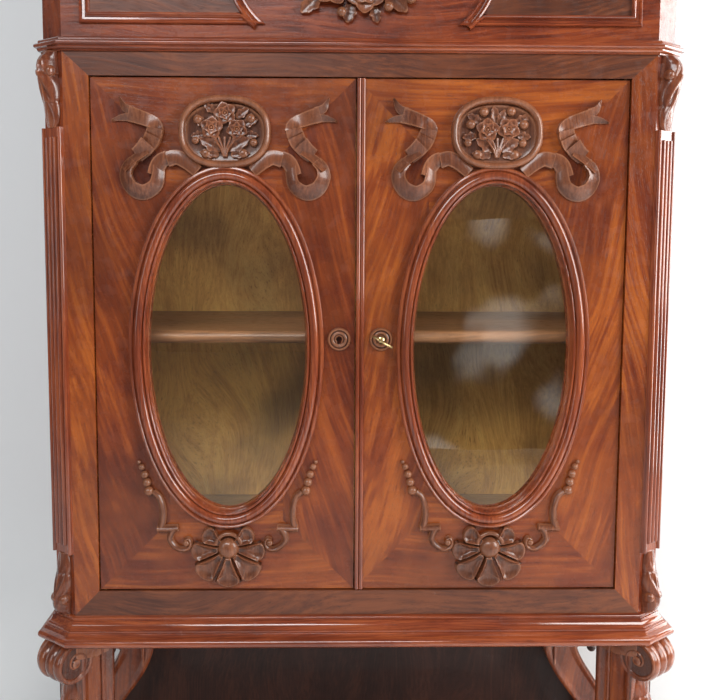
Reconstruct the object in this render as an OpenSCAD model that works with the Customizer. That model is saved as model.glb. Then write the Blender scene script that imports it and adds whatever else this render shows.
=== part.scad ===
// Mahogany glazed bookcase on a stand with scrolled legs: two oval-glazed doors, one adjustable shelf.
// Millimetres. The floor is z = 0, the front faces -Y, and x = 0 is the line of symmetry.

/* [Case] */
// Half width of the flat front, up to the canted corners
face_half = 435; // [420:1:450]
// Width of a canted corner, measured across the front
cant_w = 34; // [28:1:38]
// Depth of a canted corner, measured from front to back
cant_d = 25; // [20:1:30]
// Depth of the case from its front face to its back
case_depth = 412; // [380:1:440]
// Thickness of the front frame
frame_t = 22; // [20:1:24]
// Thickness of the side panels
side_t = 20; // [16:1:22]

/* [Heights] */
// Top of the stand's platform above the floor
platform_top = 150; // [130:1:170]
// Height of the scrolled legs
leg_h = 490; // [480:1:500]
// Height of the base moulding
base_mould_h = 42; // [38:1:46]
// Height of the bottom rail above the base moulding
bottom_rail_h = 38.5; // [34:0.5:44]
// Height of a door
door_h = 772; // [740:1:800]
// Height of the top rail below the waist moulding
top_rail_h = 34.5; // [30:0.5:40]
// Height of the waist moulding
waist_h = 20; // [16:1:24]
// Height of the frieze
frieze_h = 212; // [190:1:230]
// Height of the cornice
cornice_h = 58; // [50:1:70]

/* [Doors] */
// Thickness of a door
door_t = 22; // [20:1:24]
// How far a door's face stands behind the front frame
door_recess = 4.5; // [3:0.5:6]
// Gap round a door
gap = 1.5; // [1.3:0.1:2]
// Half width of the oval light
light_rx = 118; // [110:1:124]
// Half height of the oval light
light_rz = 246; // [230:1:256]
// Width of the oval moulding
oval_mould_w = 27; // [22:1:28]
// How far the oval moulding stands out from the door
oval_mould_out = 13; // [9:1:16]
// Centre of an oval light from the middle of the bookcase
oval_x = 200; // [196:1:204]
// Centre of an oval light above the bottom of the door
oval_z = 371; // [360:1:382]

/* [Shelf] */
// Height of the shelf's top above the bottom of the doors
shelf_top = 393.6; // [300:1:480]
// Thickness of the shelf
shelf_t = 20; // [16:1:22]
// Notch spacing on the shelf racks
rack_pitch = 32; // [28:1:40]

/* [Lock] */
// Distance of a keyhole from the middle of the bookcase
key_x = 31.5; // [30:0.5:34]
// Height of the keyholes above the bottom of the doors
key_z = 387.5; // [370:1:400]
// How far the key is turned from level, as the bow lies
key_tilt = 31; // [0:1:60]

/* [Hidden] */

// colours of the woods and metals
mahogany = [0.60, 0.26, 0.12];
dark_mahogany = [0.38, 0.17, 0.11];
carved_wood = [0.50, 0.25, 0.15];
inner_wood = [0.55, 0.42, 0.22];
brass = [0.78, 0.66, 0.38];

// heights worked out from the floor up
underside = platform_top + leg_h;
base_mould_top = underside + base_mould_h;
opening_bottom = base_mould_top + bottom_rail_h;
door_bottom = opening_bottom + gap;
door_top = door_bottom + door_h;
opening_top = door_top + gap;
waist_bottom = opening_top + top_rail_h;
frieze_bottom = waist_bottom + waist_h;
frieze_top = frieze_bottom + frieze_h;
cornice_top = frieze_top + cornice_h;
top_board_h = 12;

// widths and depths
half_w = face_half + cant_w;
inner_half = half_w - side_t;
opening_half = 397.5;
door_half = opening_half - gap;
back_y = case_depth - 10;
post_back = 60;

// doors: the meeting line lies at the left edge of the meeting bead
bead_half = 6.5;
left_meet = -bead_half - gap;
right_meet = -bead_half;
door_face = door_recess;
door_back = door_face + door_t;
pivot_in = 6;
pivot_deep = 3.5;
pivot_r = 2.5;
running = 0.05;

// floor and ceiling of the case
floor_top = door_bottom + 24;
board_t = 20;
ceiling_z = door_top - 24;
board_front = door_back + 1.5;

// oval outline and its steps
oval_points = 72;

// plan of the case front, from the back left corner round to the back right corner
case_plan = [[-half_w, case_depth], [-half_w, cant_d], [-face_half, 0],
             [face_half, 0], [half_w, cant_d], [half_w, case_depth]];

// unit vectors across and out of the right-hand canted corner
cant_len = norm([cant_w, cant_d]);
cant_dir = [cant_w, cant_d] / cant_len;
cant_out = [cant_d, -cant_w] / cant_len;
cant_turn = atan2(cant_out[1], cant_out[0]);
cant_mid = [face_half + cant_w / 2, cant_d / 2];

// ---------- helpers ----------

module set_back() translate([0, front_y, 0]) children();

// x and z drawn flat, pulled back along y from y0 to y1
module slab(y0, y1) translate([0, y1, 0]) rotate([90, 0, 0]) linear_extrude(y1 - y0) children();

module box(lo, hi) translate(lo) cube(hi - lo);

module mirrored() {
    children();
    mirror([1, 0, 0]) children();
}

function oval(rx, rz, cx, cz, n = oval_points) =
    [for (i = [0 : n - 1]) [cx + rx * cos(360 * i / n), cz + rz * sin(360 * i / n)]];

function unit(v) = v / norm(v);
function side_out(a, b) = [unit(b - a)[1], -unit(b - a)[0]];

// corner k of a plan line, moved out by e with mitred corners
function moved(plan, k, e) =
    k == 0 ? plan[0] + e * side_out(plan[0], plan[1]) :
    k == len(plan) - 1 ? plan[k] + e * side_out(plan[k - 1], plan[k]) :
    let (n1 = side_out(plan[k - 1], plan[k]), n2 = side_out(plan[k], plan[k + 1]))
    plan[k] + e * (n1 + n2) / (1 + n1 * n2);

// one mitred length of a moulding with a profile of [out, height] points, let in by a depth
module mitred_length(plan, k, profile, out, let_in) {
    a = plan[k];
    b = plan[k + 1];
    n = side_out(a, b);
    spare = out + 5;
    intersection() {
        translate([b[0], b[1], 0]) rotate([90, 0, atan2(n[1], n[0])])
            translate([0, 0, -spare]) linear_extrude(norm(b - a) + 2 * spare) polygon(profile);
        linear_extrude(3000) polygon([moved(plan, k, -let_in), moved(plan, k + 1, -let_in),
            moved(plan, k + 1, out), moved(plan, k, out)]);
    }
}

module mitred_moulding(plan, profile, out, let_in = 0)
    for (k = [0 : len(plan) - 2]) mitred_length(plan, k, profile, out, let_in);

// quarter-round points from angle a0 to a1 about a centre
function round_pts(c, r, a0, a1, n = 6) =
    [for (i = [0 : n]) c + r * [cos(a0 + (a1 - a0) * i / n), sin(a0 + (a1 - a0) * i / n)]];

// ---------- case ----------

module left_side_panel() color(mahogany)
    box([-half_w, post_back, underside], [-inner_half, case_depth, frieze_top]);

module right_side_panel() color(mahogany)
    box([inner_half, post_back, underside], [half_w, case_depth, frieze_top]);

// outline of the inside boards, notched round the corner posts
module board_outline(front, half) polygon([[-half, back_y], [-half, post_back], [-face_half + 1, post_back],
    [-face_half + 1, front], [face_half - 1, front], [face_half - 1, post_back], [half, post_back],
    [half, back_y]]);

bolt_x = left_meet - 22;
bolt_y = board_front + 6;
bolt_r = 3;

module case_bottom_boards() color(inner_wood) {
    difference() {
        translate([0, 0, floor_top - board_t]) linear_extrude(board_t)
            board_outline(board_front, inner_half);
        translate([bolt_x, bolt_y, floor_top - 12]) cylinder(h = 13, r = bolt_r + 0.5, $fn = 24);
    }
    translate([0, 0, underside]) linear_extrude(12) board_outline(frame_t, inner_half);
}

module case_ceiling() color(inner_wood) difference() {
    translate([0, 0, ceiling_z]) linear_extrude(board_t) board_outline(board_front, inner_half);
    translate([bolt_x, bolt_y, ceiling_z - 1]) cylinder(h = 13, r = bolt_r + 0.5, $fn = 24);
}

muntin_half = 30;
back_stile_w = 40;
module back_frame() color(inner_wood) {
    for (s = [-1, 1])
        box([s > 0 ? inner_half - back_stile_w : -inner_half, back_y, underside],
            [s > 0 ? inner_half : -inner_half + back_stile_w, case_depth, frieze_top]);
    for (z = [[underside, floor_top], [frieze_top - 60, frieze_top]])
        box([-inner_half + back_stile_w, back_y, z[0]], [inner_half - back_stile_w, case_depth, z[1]]);
    box([-muntin_half, back_y, floor_top], [muntin_half, case_depth, frieze_top - 60]);
}

module back_panels() color(inner_wood) mirrored()
    box([muntin_half, back_y, floor_top], [inner_half - back_stile_w, back_y + 7, frieze_top - 60]);

module top_rail() color(dark_mahogany) difference() {
    slab(0, frame_t) polygon([[-face_half, frieze_bottom], [face_half, frieze_bottom],
        [face_half, waist_bottom], [opening_half, opening_top], [-opening_half, opening_top],
        [-face_half, waist_bottom]]);
    mirrored() plate(opening_top - 0.01, opening_top + plate_t);
}

module bottom_rail() color(dark_mahogany) difference() {
    slab(0, frame_t) polygon([[-face_half, underside], [face_half, underside],
        [face_half, base_mould_top], [opening_half, opening_bottom], [-opening_half, opening_bottom],
        [-face_half, base_mould_top]]);
    mirrored() plate(opening_bottom - plate_t, opening_bottom + 0.01);
}

module face_stiles() color(mahogany) mirrored()
    slab(0, frame_t) polygon([[face_half, base_mould_top], [face_half, waist_bottom],
        [opening_half, opening_top], [opening_half, opening_bottom]]);

module corner_posts() color(mahogany) mirrored()
    translate([0, 0, underside]) linear_extrude(frieze_top - underside)
        polygon([[face_half, 0], [half_w, cant_d], [half_w, post_back], [inner_half, post_back],
                 [inner_half, 38], [face_half, frame_t]]);

// moves a shape drawn about the z axis on to the right-hand canted corner, x out of the face
module on_cant() translate([cant_mid[0], cant_mid[1], 0]) rotate([0, 0, cant_turn]) children();

pilaster_bottom = door_bottom + 57;
pilaster_top = door_bottom + 699;
pilaster_out = 5;
reed_count = 3;
module pilasters() color(mahogany) mirrored() on_cant()
    translate([0, 0, pilaster_bottom]) {
        linear_extrude(pilaster_top - pilaster_bottom) {
            translate([0, -cant_len / 2]) square([pilaster_out, cant_len]);
            for (s = [-1, 1]) translate([pilaster_out, s * (cant_len / 2 - 3)]) circle(r = 3, $fn = 24);
        }
        translate([0, 0, 14]) linear_extrude(pilaster_top - pilaster_bottom - 28)
            for (k = [0 : reed_count - 1])
                translate([pilaster_out, (k - (reed_count - 1) / 2) * 9]) circle(r = 4, $fn = 24);
    }

// side outline of a corbel: [out, height] points, thick end up
function corbel_outline(h, out) = concat([[0, h], [0, 0], [4, 0]],
    [for (i = [0 : 8]) let (t = i / 8) [4 + (out - 4) * pow(sin(90 * t), 2), 6 + (h - 38) * t]],
    round_pts([out - 14, h - 24], 14, 0, 90, 6), [[6, h - 8], [6, h]]);

module corbel(h, out, width) translate([0, width / 2, 0]) rotate([90, 0, 0])
    linear_extrude(width) polygon(corbel_outline(h, out));

module corner_corbels() color(carved_wood) mirrored() on_cant() {
    translate([0, 0, pilaster_top]) corbel(waist_bottom - pilaster_top, 27, 34);
    translate([0, 0, pilaster_bottom]) mirror([0, 0, 1]) corbel(pilaster_bottom - base_mould_top, 25, 32);
}

waist_out = 13;
module waist_moulding() color(mahogany) mitred_moulding(case_plan, concat(
    [[0, waist_bottom], [3, waist_bottom], [4, waist_bottom + 5]],
    round_pts([waist_out - 5, waist_bottom + 11], 5, -70, 70, 8),
    [[4, frieze_bottom - 2], [4, frieze_bottom], [0, frieze_bottom]]), waist_out);

base_out = 28;
module base_moulding() color(mahogany) mitred_moulding(case_plan, concat(
    [[0, underside], [base_out - 8, underside]],
    round_pts([base_out - 8, underside + 8], 8, -90, 90, 8),
    [[base_out - 12, underside + 16], [base_out - 12, underside + 20]],
    [for (i = [0 : 6]) let (t = i / 6) [base_out - 14 - 10 * t, underside + 20 + 13 * pow(t, 0.6)]],
    round_pts([4, underside + 38], 4, -70, 90, 5), [[0, base_mould_top]]), base_out);

// ---------- frieze and cornice ----------

module frieze_board() color(mahogany) box([-face_half, 0, frieze_bottom], [face_half, frame_t, frieze_top]);

// a frieze panel has one hollow end, towards the carving; inset e from its outer edge
panel_margin = 19;
panel_near = 140;
panel_far = face_half - 27;
panel_low = frieze_bottom + panel_margin;
panel_high = frieze_top - panel_margin;
hollow_r = 110;
function hollow_end(e) =
    let (half = (panel_high - panel_low) / 2 - e, r = hollow_r + e,
         cx = panel_near - sqrt(hollow_r * hollow_r - pow((panel_high - panel_low) / 2, 2)),
         turn = asin(half / r), mid = (panel_high + panel_low) / 2)
    round_pts([cx, mid], r, turn, -turn, 12);
function panel_outline(e) = concat([[panel_far - e, panel_low + e], [panel_far - e, panel_high - e]],
    hollow_end(e));

module frieze_panel_mouldings() color(mahogany) mirrored() {
    slab(-5, 0) difference() {
        polygon(panel_outline(0));
        polygon(panel_outline(16));
    }
    slab(-9, -5) difference() {
        polygon(panel_outline(6));
        polygon(panel_outline(14));
    }
}

module frieze_panels() color(dark_mahogany) mirrored() slab(-3.5, 0) polygon(panel_outline(16));

bouquet_z = (frieze_top + frieze_bottom) / 2;
module frieze_bouquet() color(carved_wood) {
    slab(-10, 0) polygon(oval(128, 84, 0, bouquet_z, 40));
    slab(-20, -10) polygon(oval(84, 56, 0, bouquet_z, 32));
}

cornice_out = 44;
module cornice() color(mahogany) mitred_moulding(case_plan, concat(
    [[0, frieze_top], [6, frieze_top], [6, frieze_top + 8]],
    [for (i = [0 : 10]) let (t = i / 10)
        [9 + 25 * (t - sin(360 * t) / 9), frieze_top + 12 + 28 * t]],
    [[38, frieze_top + 40], [38, cornice_top - 14]],
    round_pts([cornice_out - 6, cornice_top - 7], 6, -80, 80, 6),
    [[36, cornice_top], [0, cornice_top]]), cornice_out);

module top_board() color(mahogany) {
    translate([0, 0, frieze_top]) linear_extrude(cornice_h) difference() {
        polygon(case_plan);
        polygon([for (k = [0 : len(case_plan) - 1])
            moved(case_plan, k, -frame_t) - [0, k % 5 == 0 ? frame_t : 0]]);
    }
    translate([0, 0, cornice_top]) linear_extrude(top_board_h)
        polygon([for (k = [0 : len(case_plan) - 1]) moved(case_plan, k, 34)]);
}

// ---------- stand ----------

function bez(p, t) = pow(1 - t, 3) * p[0] + 3 * t * pow(1 - t, 2) * p[1] + 3 * t * t * (1 - t) * p[2]
    + pow(t, 3) * p[3];
function bez_dir(p, t) = unit(3 * pow(1 - t, 2) * (p[1] - p[0]) + 6 * t * (1 - t) * (p[2] - p[1])
    + 3 * t * t * (p[3] - p[2]));

// centre line of a leg: [out, height], 0 out at the top volute's face
leg_curve = [
    [[-74, 490], [-74, 430], [-74, 380], [-74, 330]],
    [[-74, 330], [-74, 250], [0, 215], [10, 140]],
    [[10, 140], [17, 75], [-18, 38], [-48, 34]]];
leg_width = [68, 66, 52, 44];
leg_steps = 10;
leg_t = 56;
volute_r = 33;
foot_volute = [-50, 50];

function leg_edge(s) = [for (k = [0 : 2]) for (i = [0 : leg_steps]) if (i < leg_steps || k == 2)
    let (t = i / leg_steps, p = bez(leg_curve[k], t), d = bez_dir(leg_curve[k], t),
         w = leg_width[k] + (leg_width[k + 1] - leg_width[k]) * t)
    p + s * w / 2 * [-d[1], d[0]]];
function backwards(v) = [for (i = [len(v) - 1 : -1 : 0]) v[i]];

// a leg drawn with out along +x and height along z, standing on the platform
module leg_shape() translate([0, 0, platform_top]) {
    slab(-leg_t / 2, leg_t / 2) {
        polygon(concat(leg_edge(1), backwards(leg_edge(-1))));
        translate([-volute_r, leg_h - volute_r]) circle(r = volute_r, $fn = 48);
        polygon([[-105, leg_h], [-volute_r, leg_h], [-volute_r, leg_h - volute_r], [-90, leg_h - volute_r],
                 [-105, leg_h - 60]]);
        translate(foot_volute) circle(r = 38, $fn = 48);
        polygon([[-84, 0], [8, 0], [8, 14], [-20, 30], [-76, 30]]);
    }
    slab(-20, 20) polygon([[-48, 426], [-26, 406], [-14, 380], [-8, 350], [0, 318], [2, 302], [-10, 292],
                           [-30, 298], [-48, 320]]);
}

leg_mid = moved([[-half_w, cant_d], [-face_half, 0], [face_half, 0], [half_w, cant_d]], 2, base_out)
    * 0.5 + moved([[-face_half, 0], [face_half, 0], [half_w, cant_d], [half_w, 100]], 2, base_out) * 0.5;
leg_proud = 8;

// how far the knee of a leg swells past its volute, and the frontmost point of a front leg
leg_reach = max([for (p = concat(leg_edge(1), leg_edge(-1))) p[0]]);
leg_front = leg_mid[1] + (leg_proud + leg_reach) * cant_out[1] - leg_t / 2 * cant_dir[1];
front_y = -(case_depth + leg_front) / 2;

module on_front_corner() translate(leg_mid + leg_proud * cant_out) rotate([0, 0, cant_turn]) children();
module front_right_leg() color(mahogany) on_front_corner() leg_shape();
module front_left_leg() mirror([1, 0, 0]) front_right_leg();

rear_leg_y = case_depth - 38;
rear_leg_x = 491;
module rear_right_leg() color(mahogany) translate([rear_leg_x, rear_leg_y, 0]) leg_shape();
module rear_left_leg() mirror([1, 0, 0]) rear_right_leg();

// a shaped apron down each side of the stand, with a turned drop at its middle
apron_x = 428;
apron_t = 14;
apron_end = rear_leg_y - leg_t / 2;
apron_mid = 212;
apron_deep = 104;
drop_r = 8;
function apron_low(t) = -30 - (apron_deep - 30) * (3 * t * t - 2 * t * t * t);
module side_aprons() color(dark_mahogany) mirrored() difference() {
    union() {
        translate([apron_x, 0, underside]) rotate([90, 0, 90]) linear_extrude(apron_t) polygon(concat(
            [[60, 0]], [for (i = [0 : 12]) let (t = i / 12) [84 + (apron_mid - 10 - 84) * t, apron_low(t)]],
            [for (i = [0 : 12]) let (t = i / 12)
                [apron_mid + 10 + (apron_end - apron_mid - 10) * t, apron_low(1 - t)]],
            [[apron_end, 0]]));
        translate([apron_x + apron_t / 2, apron_mid, underside - apron_deep]) {
            translate([0, 0, -16]) sphere(r = drop_r, $fn = 24);
            translate([0, 0, -12]) cylinder(h = 12, r = drop_r - 3, $fn = 24);
        }
    }
    on_front_corner() translate([-200, -leg_t / 2, underside - 200]) cube([400, leg_t, 201]);
}

stand_panel_t = 10;
// half the panel's outline in [x, height above the platform]: its edges hide behind the rear legs
panel_half = [[490, 0], [490, 120], [484, 170], [458, 250], [440, 330], [440, leg_h]];
module stand_back_panel() color(dark_mahogany)
    translate([0, case_depth, platform_top]) rotate([90, 0, 0]) linear_extrude(stand_panel_t)
        polygon(concat(panel_half, [for (k = [len(panel_half) - 1 : -1 : 0])
            [-panel_half[k][0], panel_half[k][1]]]));

platform_plan = [for (k = [0 : len(case_plan) - 1]) moved(case_plan, k, 14)];
module stand_platform() color(mahogany) {
    translate([0, 0, platform_top - 26]) linear_extrude(26) polygon(platform_plan);
    mitred_moulding(platform_plan, concat([[-10, platform_top - 24]],
        round_pts([9, platform_top - 13], 11, -90, 90, 10), [[-10, platform_top - 2]]), 22, 9);
    translate([0, 0, platform_top - 56]) linear_extrude(30)
        polygon([for (k = [0 : len(case_plan) - 1]) moved(case_plan, k, 2)]);
}

foot_h = platform_top - 56;
module bun_feet() color(mahogany)
    for (x = [-1, 1], y = [44, case_depth - 50])
        translate([x * 415, y, 0]) rotate_extrude($fn = 48)
            polygon(concat([[0, 0], [24, 0], [28, 8]],
                [for (i = [0 : 10]) let (a = -60 + 130 * i / 10) [18 + 26 * cos(a), 42 + 32 * sin(a)]],
                [[22, foot_h - 14], [30, foot_h - 8], [30, foot_h], [0, foot_h]]));

// ---------- shelf and racks ----------

rack_t = 15;
rack_w = 22;
rack_front = 62;
rack_inner = inner_half - rack_t;
notch = 8;
shelf_z = door_bottom + shelf_top;
cleat_h = 14;
cleat_z = shelf_z - shelf_t - cleat_h;
notches_down = floor((cleat_z - floor_top - 40) / rack_pitch);
notches_up = floor((ceiling_z - cleat_z - 60) / rack_pitch);

module rack(y0, face) difference() {
    box([rack_inner, y0, floor_top], [inner_half, y0 + rack_w, ceiling_z]);
    for (k = [-notches_down : notches_up])
        translate([rack_inner - 1, y0 + (face > 0 ? rack_w - notch : -1), cleat_z - 0.2 + k * rack_pitch])
            cube([rack_t + 2, notch + 1, cleat_h + 0.4]);
}

module shelf_racks() color(inner_wood) mirrored() {
    rack(rack_front, 1);
    rack(back_y - rack_w, -1);
}

cleat_w = 12;
module right_cleat() color(inner_wood)
    box([inner_half - cleat_w, rack_front + rack_w - notch + 1, cleat_z],
        [inner_half, back_y - rack_w + notch - 1, cleat_z + cleat_h]);
module left_cleat() mirror([1, 0, 0]) right_cleat();

shelf_front = 56;
module shelf() color(mahogany) {
    translate([0, 0, shelf_z - shelf_t]) linear_extrude(shelf_t) difference() {
        translate([-inner_half + 2, shelf_front + 10])
            square([2 * (inner_half - 2), back_y - shelf_front - 12]);
        for (x = [-inner_half - 1, rack_inner - 2]) {
            translate([x, 0]) square([rack_t + 3, rack_front + rack_w + 2]);
            translate([x, back_y - rack_w - 2]) square([rack_t + 3, rack_w + 4]);
        }
    }
    translate([0, shelf_front + 10, shelf_z - shelf_t / 2]) rotate([0, 90, 0])
        cylinder(h = 2 * (rack_inner - 2), r = shelf_t / 2, center = true, $fn = 32);
}

// ---------- doors ----------

plate_t = 2.5;
plate_len = 46;
pivot_side = door_half - pivot_in;

// a pivot plate, or the housing it is let into, at the right-hand side
module plate(z0, z1) translate([pivot_side - plate_len + 6, door_face + 0.01, z0])
    cube([plate_len, 14, z1 - z0]);

// the mitred stiles' share of a door's face, and the rails' share, split from corner to oval
rail_w = 108;
module stile_share(x0, x1) {
    polygon([[x0, door_bottom], [x0, door_top], [x0 + rail_w, door_top - rail_w],
             [x0 + rail_w, door_bottom + rail_w]]);
    polygon([[x1, door_bottom], [x1, door_top], [x1 - rail_w, door_top - rail_w],
             [x1 - rail_w, door_bottom + rail_w]]);
}
module rail_share(x0, x1) polygon([
    [x0, door_top], [x1, door_top], [x1 - rail_w, door_top - rail_w],
    [x1 - rail_w, door_bottom + rail_w], [x1, door_bottom], [x0, door_bottom],
    [x0 + rail_w, door_bottom + rail_w], [x0 + rail_w, door_top - rail_w]]);

module glass_hole(cx, more) polygon(oval(light_rx + more, light_rz + more, cx, door_bottom + oval_z));

rebate = 8;
module door_stiles(x0, x1, cx) slab(door_face, door_back) difference() {
    stile_share(x0, x1);
    glass_hole(cx, rebate);
}
module door_rails(x0, x1, cx) slab(door_face, door_back) difference() {
    rail_share(x0, x1);
    glass_hole(cx, rebate);
}

glass_y = door_face + 9;
glass_t = 2.5;
module oval_moulding(cx) color(mahogany) {
    slab(door_face - 6, door_face) difference() {
        glass_hole(cx, oval_mould_w);
        glass_hole(cx, 0);
    }
    slab(door_face - oval_mould_out, door_face - 6) difference() {
        glass_hole(cx, oval_mould_w - 5);
        glass_hole(cx, 7);
    }
    slab(door_face, glass_y) difference() {
        glass_hole(cx, rebate);
        glass_hole(cx, 0);
    }
}
module door_glass(cx) color([0.75, 0.80, 0.75, 0.3]) slab(glass_y, glass_y + glass_t) glass_hole(cx, rebate);
module glazing_bead(cx) color(inner_wood) slab(glass_y + glass_t, door_back) difference() {
    glass_hole(cx, rebate);
    glass_hole(cx, 0);
}

// medallion: an upright-sided oval with a raised rim, hollowed below by the oval moulding
medallion_z = oval_z + light_rz + 76;
module medallion_outline(cx, less) difference() {
    polygon(oval(67 - less, 52 - less, cx, door_bottom + medallion_z, 48));
    glass_hole(cx, oval_mould_w);
}
module medallion(cx) color(carved_wood) {
    slab(door_face - 3, door_face) medallion_outline(cx, 0);
    slab(door_face - 14, door_face - 3) difference() {
        medallion_outline(cx, 0);
        medallion_outline(cx, 9);
    }
    slab(door_face - 14, door_face - 3) difference() {
        polygon(oval(46, 34, cx, door_bottom + medallion_z + 2, 32));
        glass_hole(cx, oval_mould_w);
    }
}

// ribbon: a looped band, by its centre line in x (out from the medallion) and z (above the door's bottom)
ribbon_line = [[52, 640], [72, 658], [88, 628], [104, 602], [130, 600], [152, 628], [145, 652], [112, 667],
    [90, 690], [100, 711], [128, 719], [158, 727]];
ribbon_wide = 9;
function line_dir(v, i) = unit(v[min(i + 1, len(v) - 1)] - v[max(i - 1, 0)]);
function band(v, w) = concat([for (i = [0 : len(v) - 1]) v[i] + w * [-line_dir(v, i)[1], line_dir(v, i)[0]]],
    backwards([for (i = [0 : len(v) - 1]) v[i] - w * [-line_dir(v, i)[1], line_dir(v, i)[0]]]));
module door_ribbons(cx) color(carved_wood) for (s = [-1, 1])
    slab(door_face - 12, door_face) difference() {
        translate([cx, door_bottom]) scale([s, 1]) polygon(band(ribbon_line, ribbon_wide));
        glass_hole(cx, oval_mould_w);
        polygon(oval(67.3, 52.3, cx, door_bottom + medallion_z, 48));
    }

// shell below the oval, with a scroll and a string of beads on each side
shell_z = 64;
shell_side = [[44, 66], [56, 60], [68, 66], [76, 82], [82, 98], [98, 104], [100, 126], [102, 148],
    [116, 156]];
module door_shell(cx) color(carved_wood) {
    slab(door_face - 14, door_face) difference() {
        polygon(concat([for (i = [0 : 24]) let (a = 188 + 164 * i / 24,
            r = 52 + 3 * cos((a - 270) * 360 / 23)) [cx + r * cos(a), door_bottom + shell_z + r * sin(a)]],
            [[cx + 20, door_bottom + shell_z + 34], [cx - 20, door_bottom + shell_z + 34]]));
        glass_hole(cx, oval_mould_w);
    }
    for (s = [-1, 1]) {
        slab(door_face - 9, door_face) difference() {
            translate([cx, door_bottom]) scale([s, 1]) polygon(band(shell_side, 4));
            glass_hole(cx, oval_mould_w);
            polygon(oval(56, 56, cx, door_bottom + shell_z, 48));
        }
        for (k = [0 : 3]) let (a = -33 + 5.2 * k)
            translate([cx + s * (light_rx + oval_mould_w + 9) * cos(a),
                       door_face, door_bottom + oval_z + (light_rz + oval_mould_w + 9) * sin(a)])
                rotate([90, 0, 0]) cylinder(h = 7, r = 5 - 0.7 * k, $fn = 24);
    }
}

esc_r = 17.5;
esc_t = 3;
module keyhole(r, slot_w, slot_down) {
    circle(r = r, $fn = 32);
    translate([-slot_w / 2, -slot_down]) square([slot_w, slot_down]);
}
module keyhole_at(x, y0, y1) slab(y0, y1) translate([x, door_bottom + key_z]) keyhole(4.4, 4, 12.5);
module escutcheon(x) color(carved_wood) difference() {
    union() {
        slab(door_face - esc_t, door_face) translate([x, door_bottom + key_z]) circle(r = esc_r, $fn = 64);
        slab(door_face - 5, door_face) translate([x, door_bottom + key_z]) difference() {
            circle(r = esc_r - 1.5, $fn = 64);
            circle(r = esc_r - 5, $fn = 64);
        }
    }
    keyhole_at(x, door_face - 6, door_face + 1);
}

// pivots: a plate let into each end of the door with a pin into the case
module door_pivots() color(brass) {
    pin_h = gap + plate_t - 0.5;
    plate(door_top - plate_t, door_top);
    plate(door_bottom, door_bottom + plate_t);
    for (z = [door_top, door_bottom - pin_h])
        translate([pivot_side, door_face + pivot_deep, z]) cylinder(h = pin_h, r = pivot_r, $fn = 32);
}
module door_pivot_space() {
    plate(door_top - plate_t, door_top + 1);
    plate(door_bottom - 1, door_bottom + plate_t);
}
module case_pivot_plates() color(brass) mirrored() difference() {
    union() {
        plate(opening_top, opening_top + plate_t);
        plate(opening_bottom - plate_t, opening_bottom);
    }
    translate([pivot_side, door_face + pivot_deep, opening_bottom - 10])
        cylinder(h = door_h + 40, r = pivot_r + running, $fn = 32);
}

// left door
bolt_z = door_bottom + 405;
module left_door_stiles() color(mahogany) difference() {
    door_stiles(-door_half, left_meet, -oval_x);
    mirror([1, 0, 0]) door_pivot_space();
    keyhole_at(-key_x, door_face - 1, door_face + 8);
    box([left_meet - 14, 14, bolt_z - 10], [left_meet + 1, 25, bolt_z + 10]);
    box([left_meet - 2, 12, bolt_z - 24], [left_meet + 1, door_back + 1, bolt_z + 24]);
}
module left_door_rails() color(mahogany) difference() {
    door_rails(-door_half, left_meet, -oval_x);
    mirror([1, 0, 0]) door_pivot_space();
}
module left_door_oval_moulding() oval_moulding(-oval_x);
module left_door_glass() door_glass(-oval_x);
module left_door_glazing_bead() glazing_bead(-oval_x);
module left_door_medallion() medallion(-oval_x);
module left_door_ribbons() door_ribbons(-oval_x);
module left_door_shell() door_shell(-oval_x);
module left_door_escutcheon() escutcheon(-key_x);
module left_door_pivots() mirror([1, 0, 0]) door_pivots();

// keepers of the two bolts on the back of the left door, and the strike plate of the lock
module bolt_keeper(z0) difference() {
    union() {
        box([bolt_x - 9, door_back, z0], [bolt_x + 9, door_back + 2, z0 + 58]);
        for (z = [4, 44]) box([bolt_x - 6, door_back + 2, z0 + z], [bolt_x + 6, bolt_y + 5, z0 + z + 10]);
    }
    translate([bolt_x, bolt_y, z0 - 1]) cylinder(h = 60, r = bolt_r + running, $fn = 32);
}
top_bolt_tip = ceiling_z - 2;
bottom_bolt_tip = floor_top + 2;
module left_door_hardware() color(brass) {
    bolt_keeper(top_bolt_tip - 64);
    bolt_keeper(bottom_bolt_tip + 6);
    difference() {
        box([left_meet - 2, 12, bolt_z - 24], [left_meet, door_back, bolt_z + 24]);
        box([left_meet - 3, 15.5, bolt_z - 8.5], [left_meet + 1, 23.5, bolt_z + 8.5]);
    }
}
module bolt_rod(z0, knob_z) {
    translate([bolt_x, bolt_y, z0]) cylinder(h = 84, r = bolt_r, $fn = 32);
    translate([bolt_x, bolt_y, knob_z]) rotate([-90, 0, 0]) cylinder(h = 14, r = 3, $fn = 24);
    translate([bolt_x, bolt_y + 14, knob_z]) sphere(r = 5, $fn = 24);
}
module left_top_bolt() color(brass) bolt_rod(top_bolt_tip - 84, top_bolt_tip - 37);
module left_bottom_bolt() color(brass) bolt_rod(bottom_bolt_tip, bottom_bolt_tip + 37);

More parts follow.
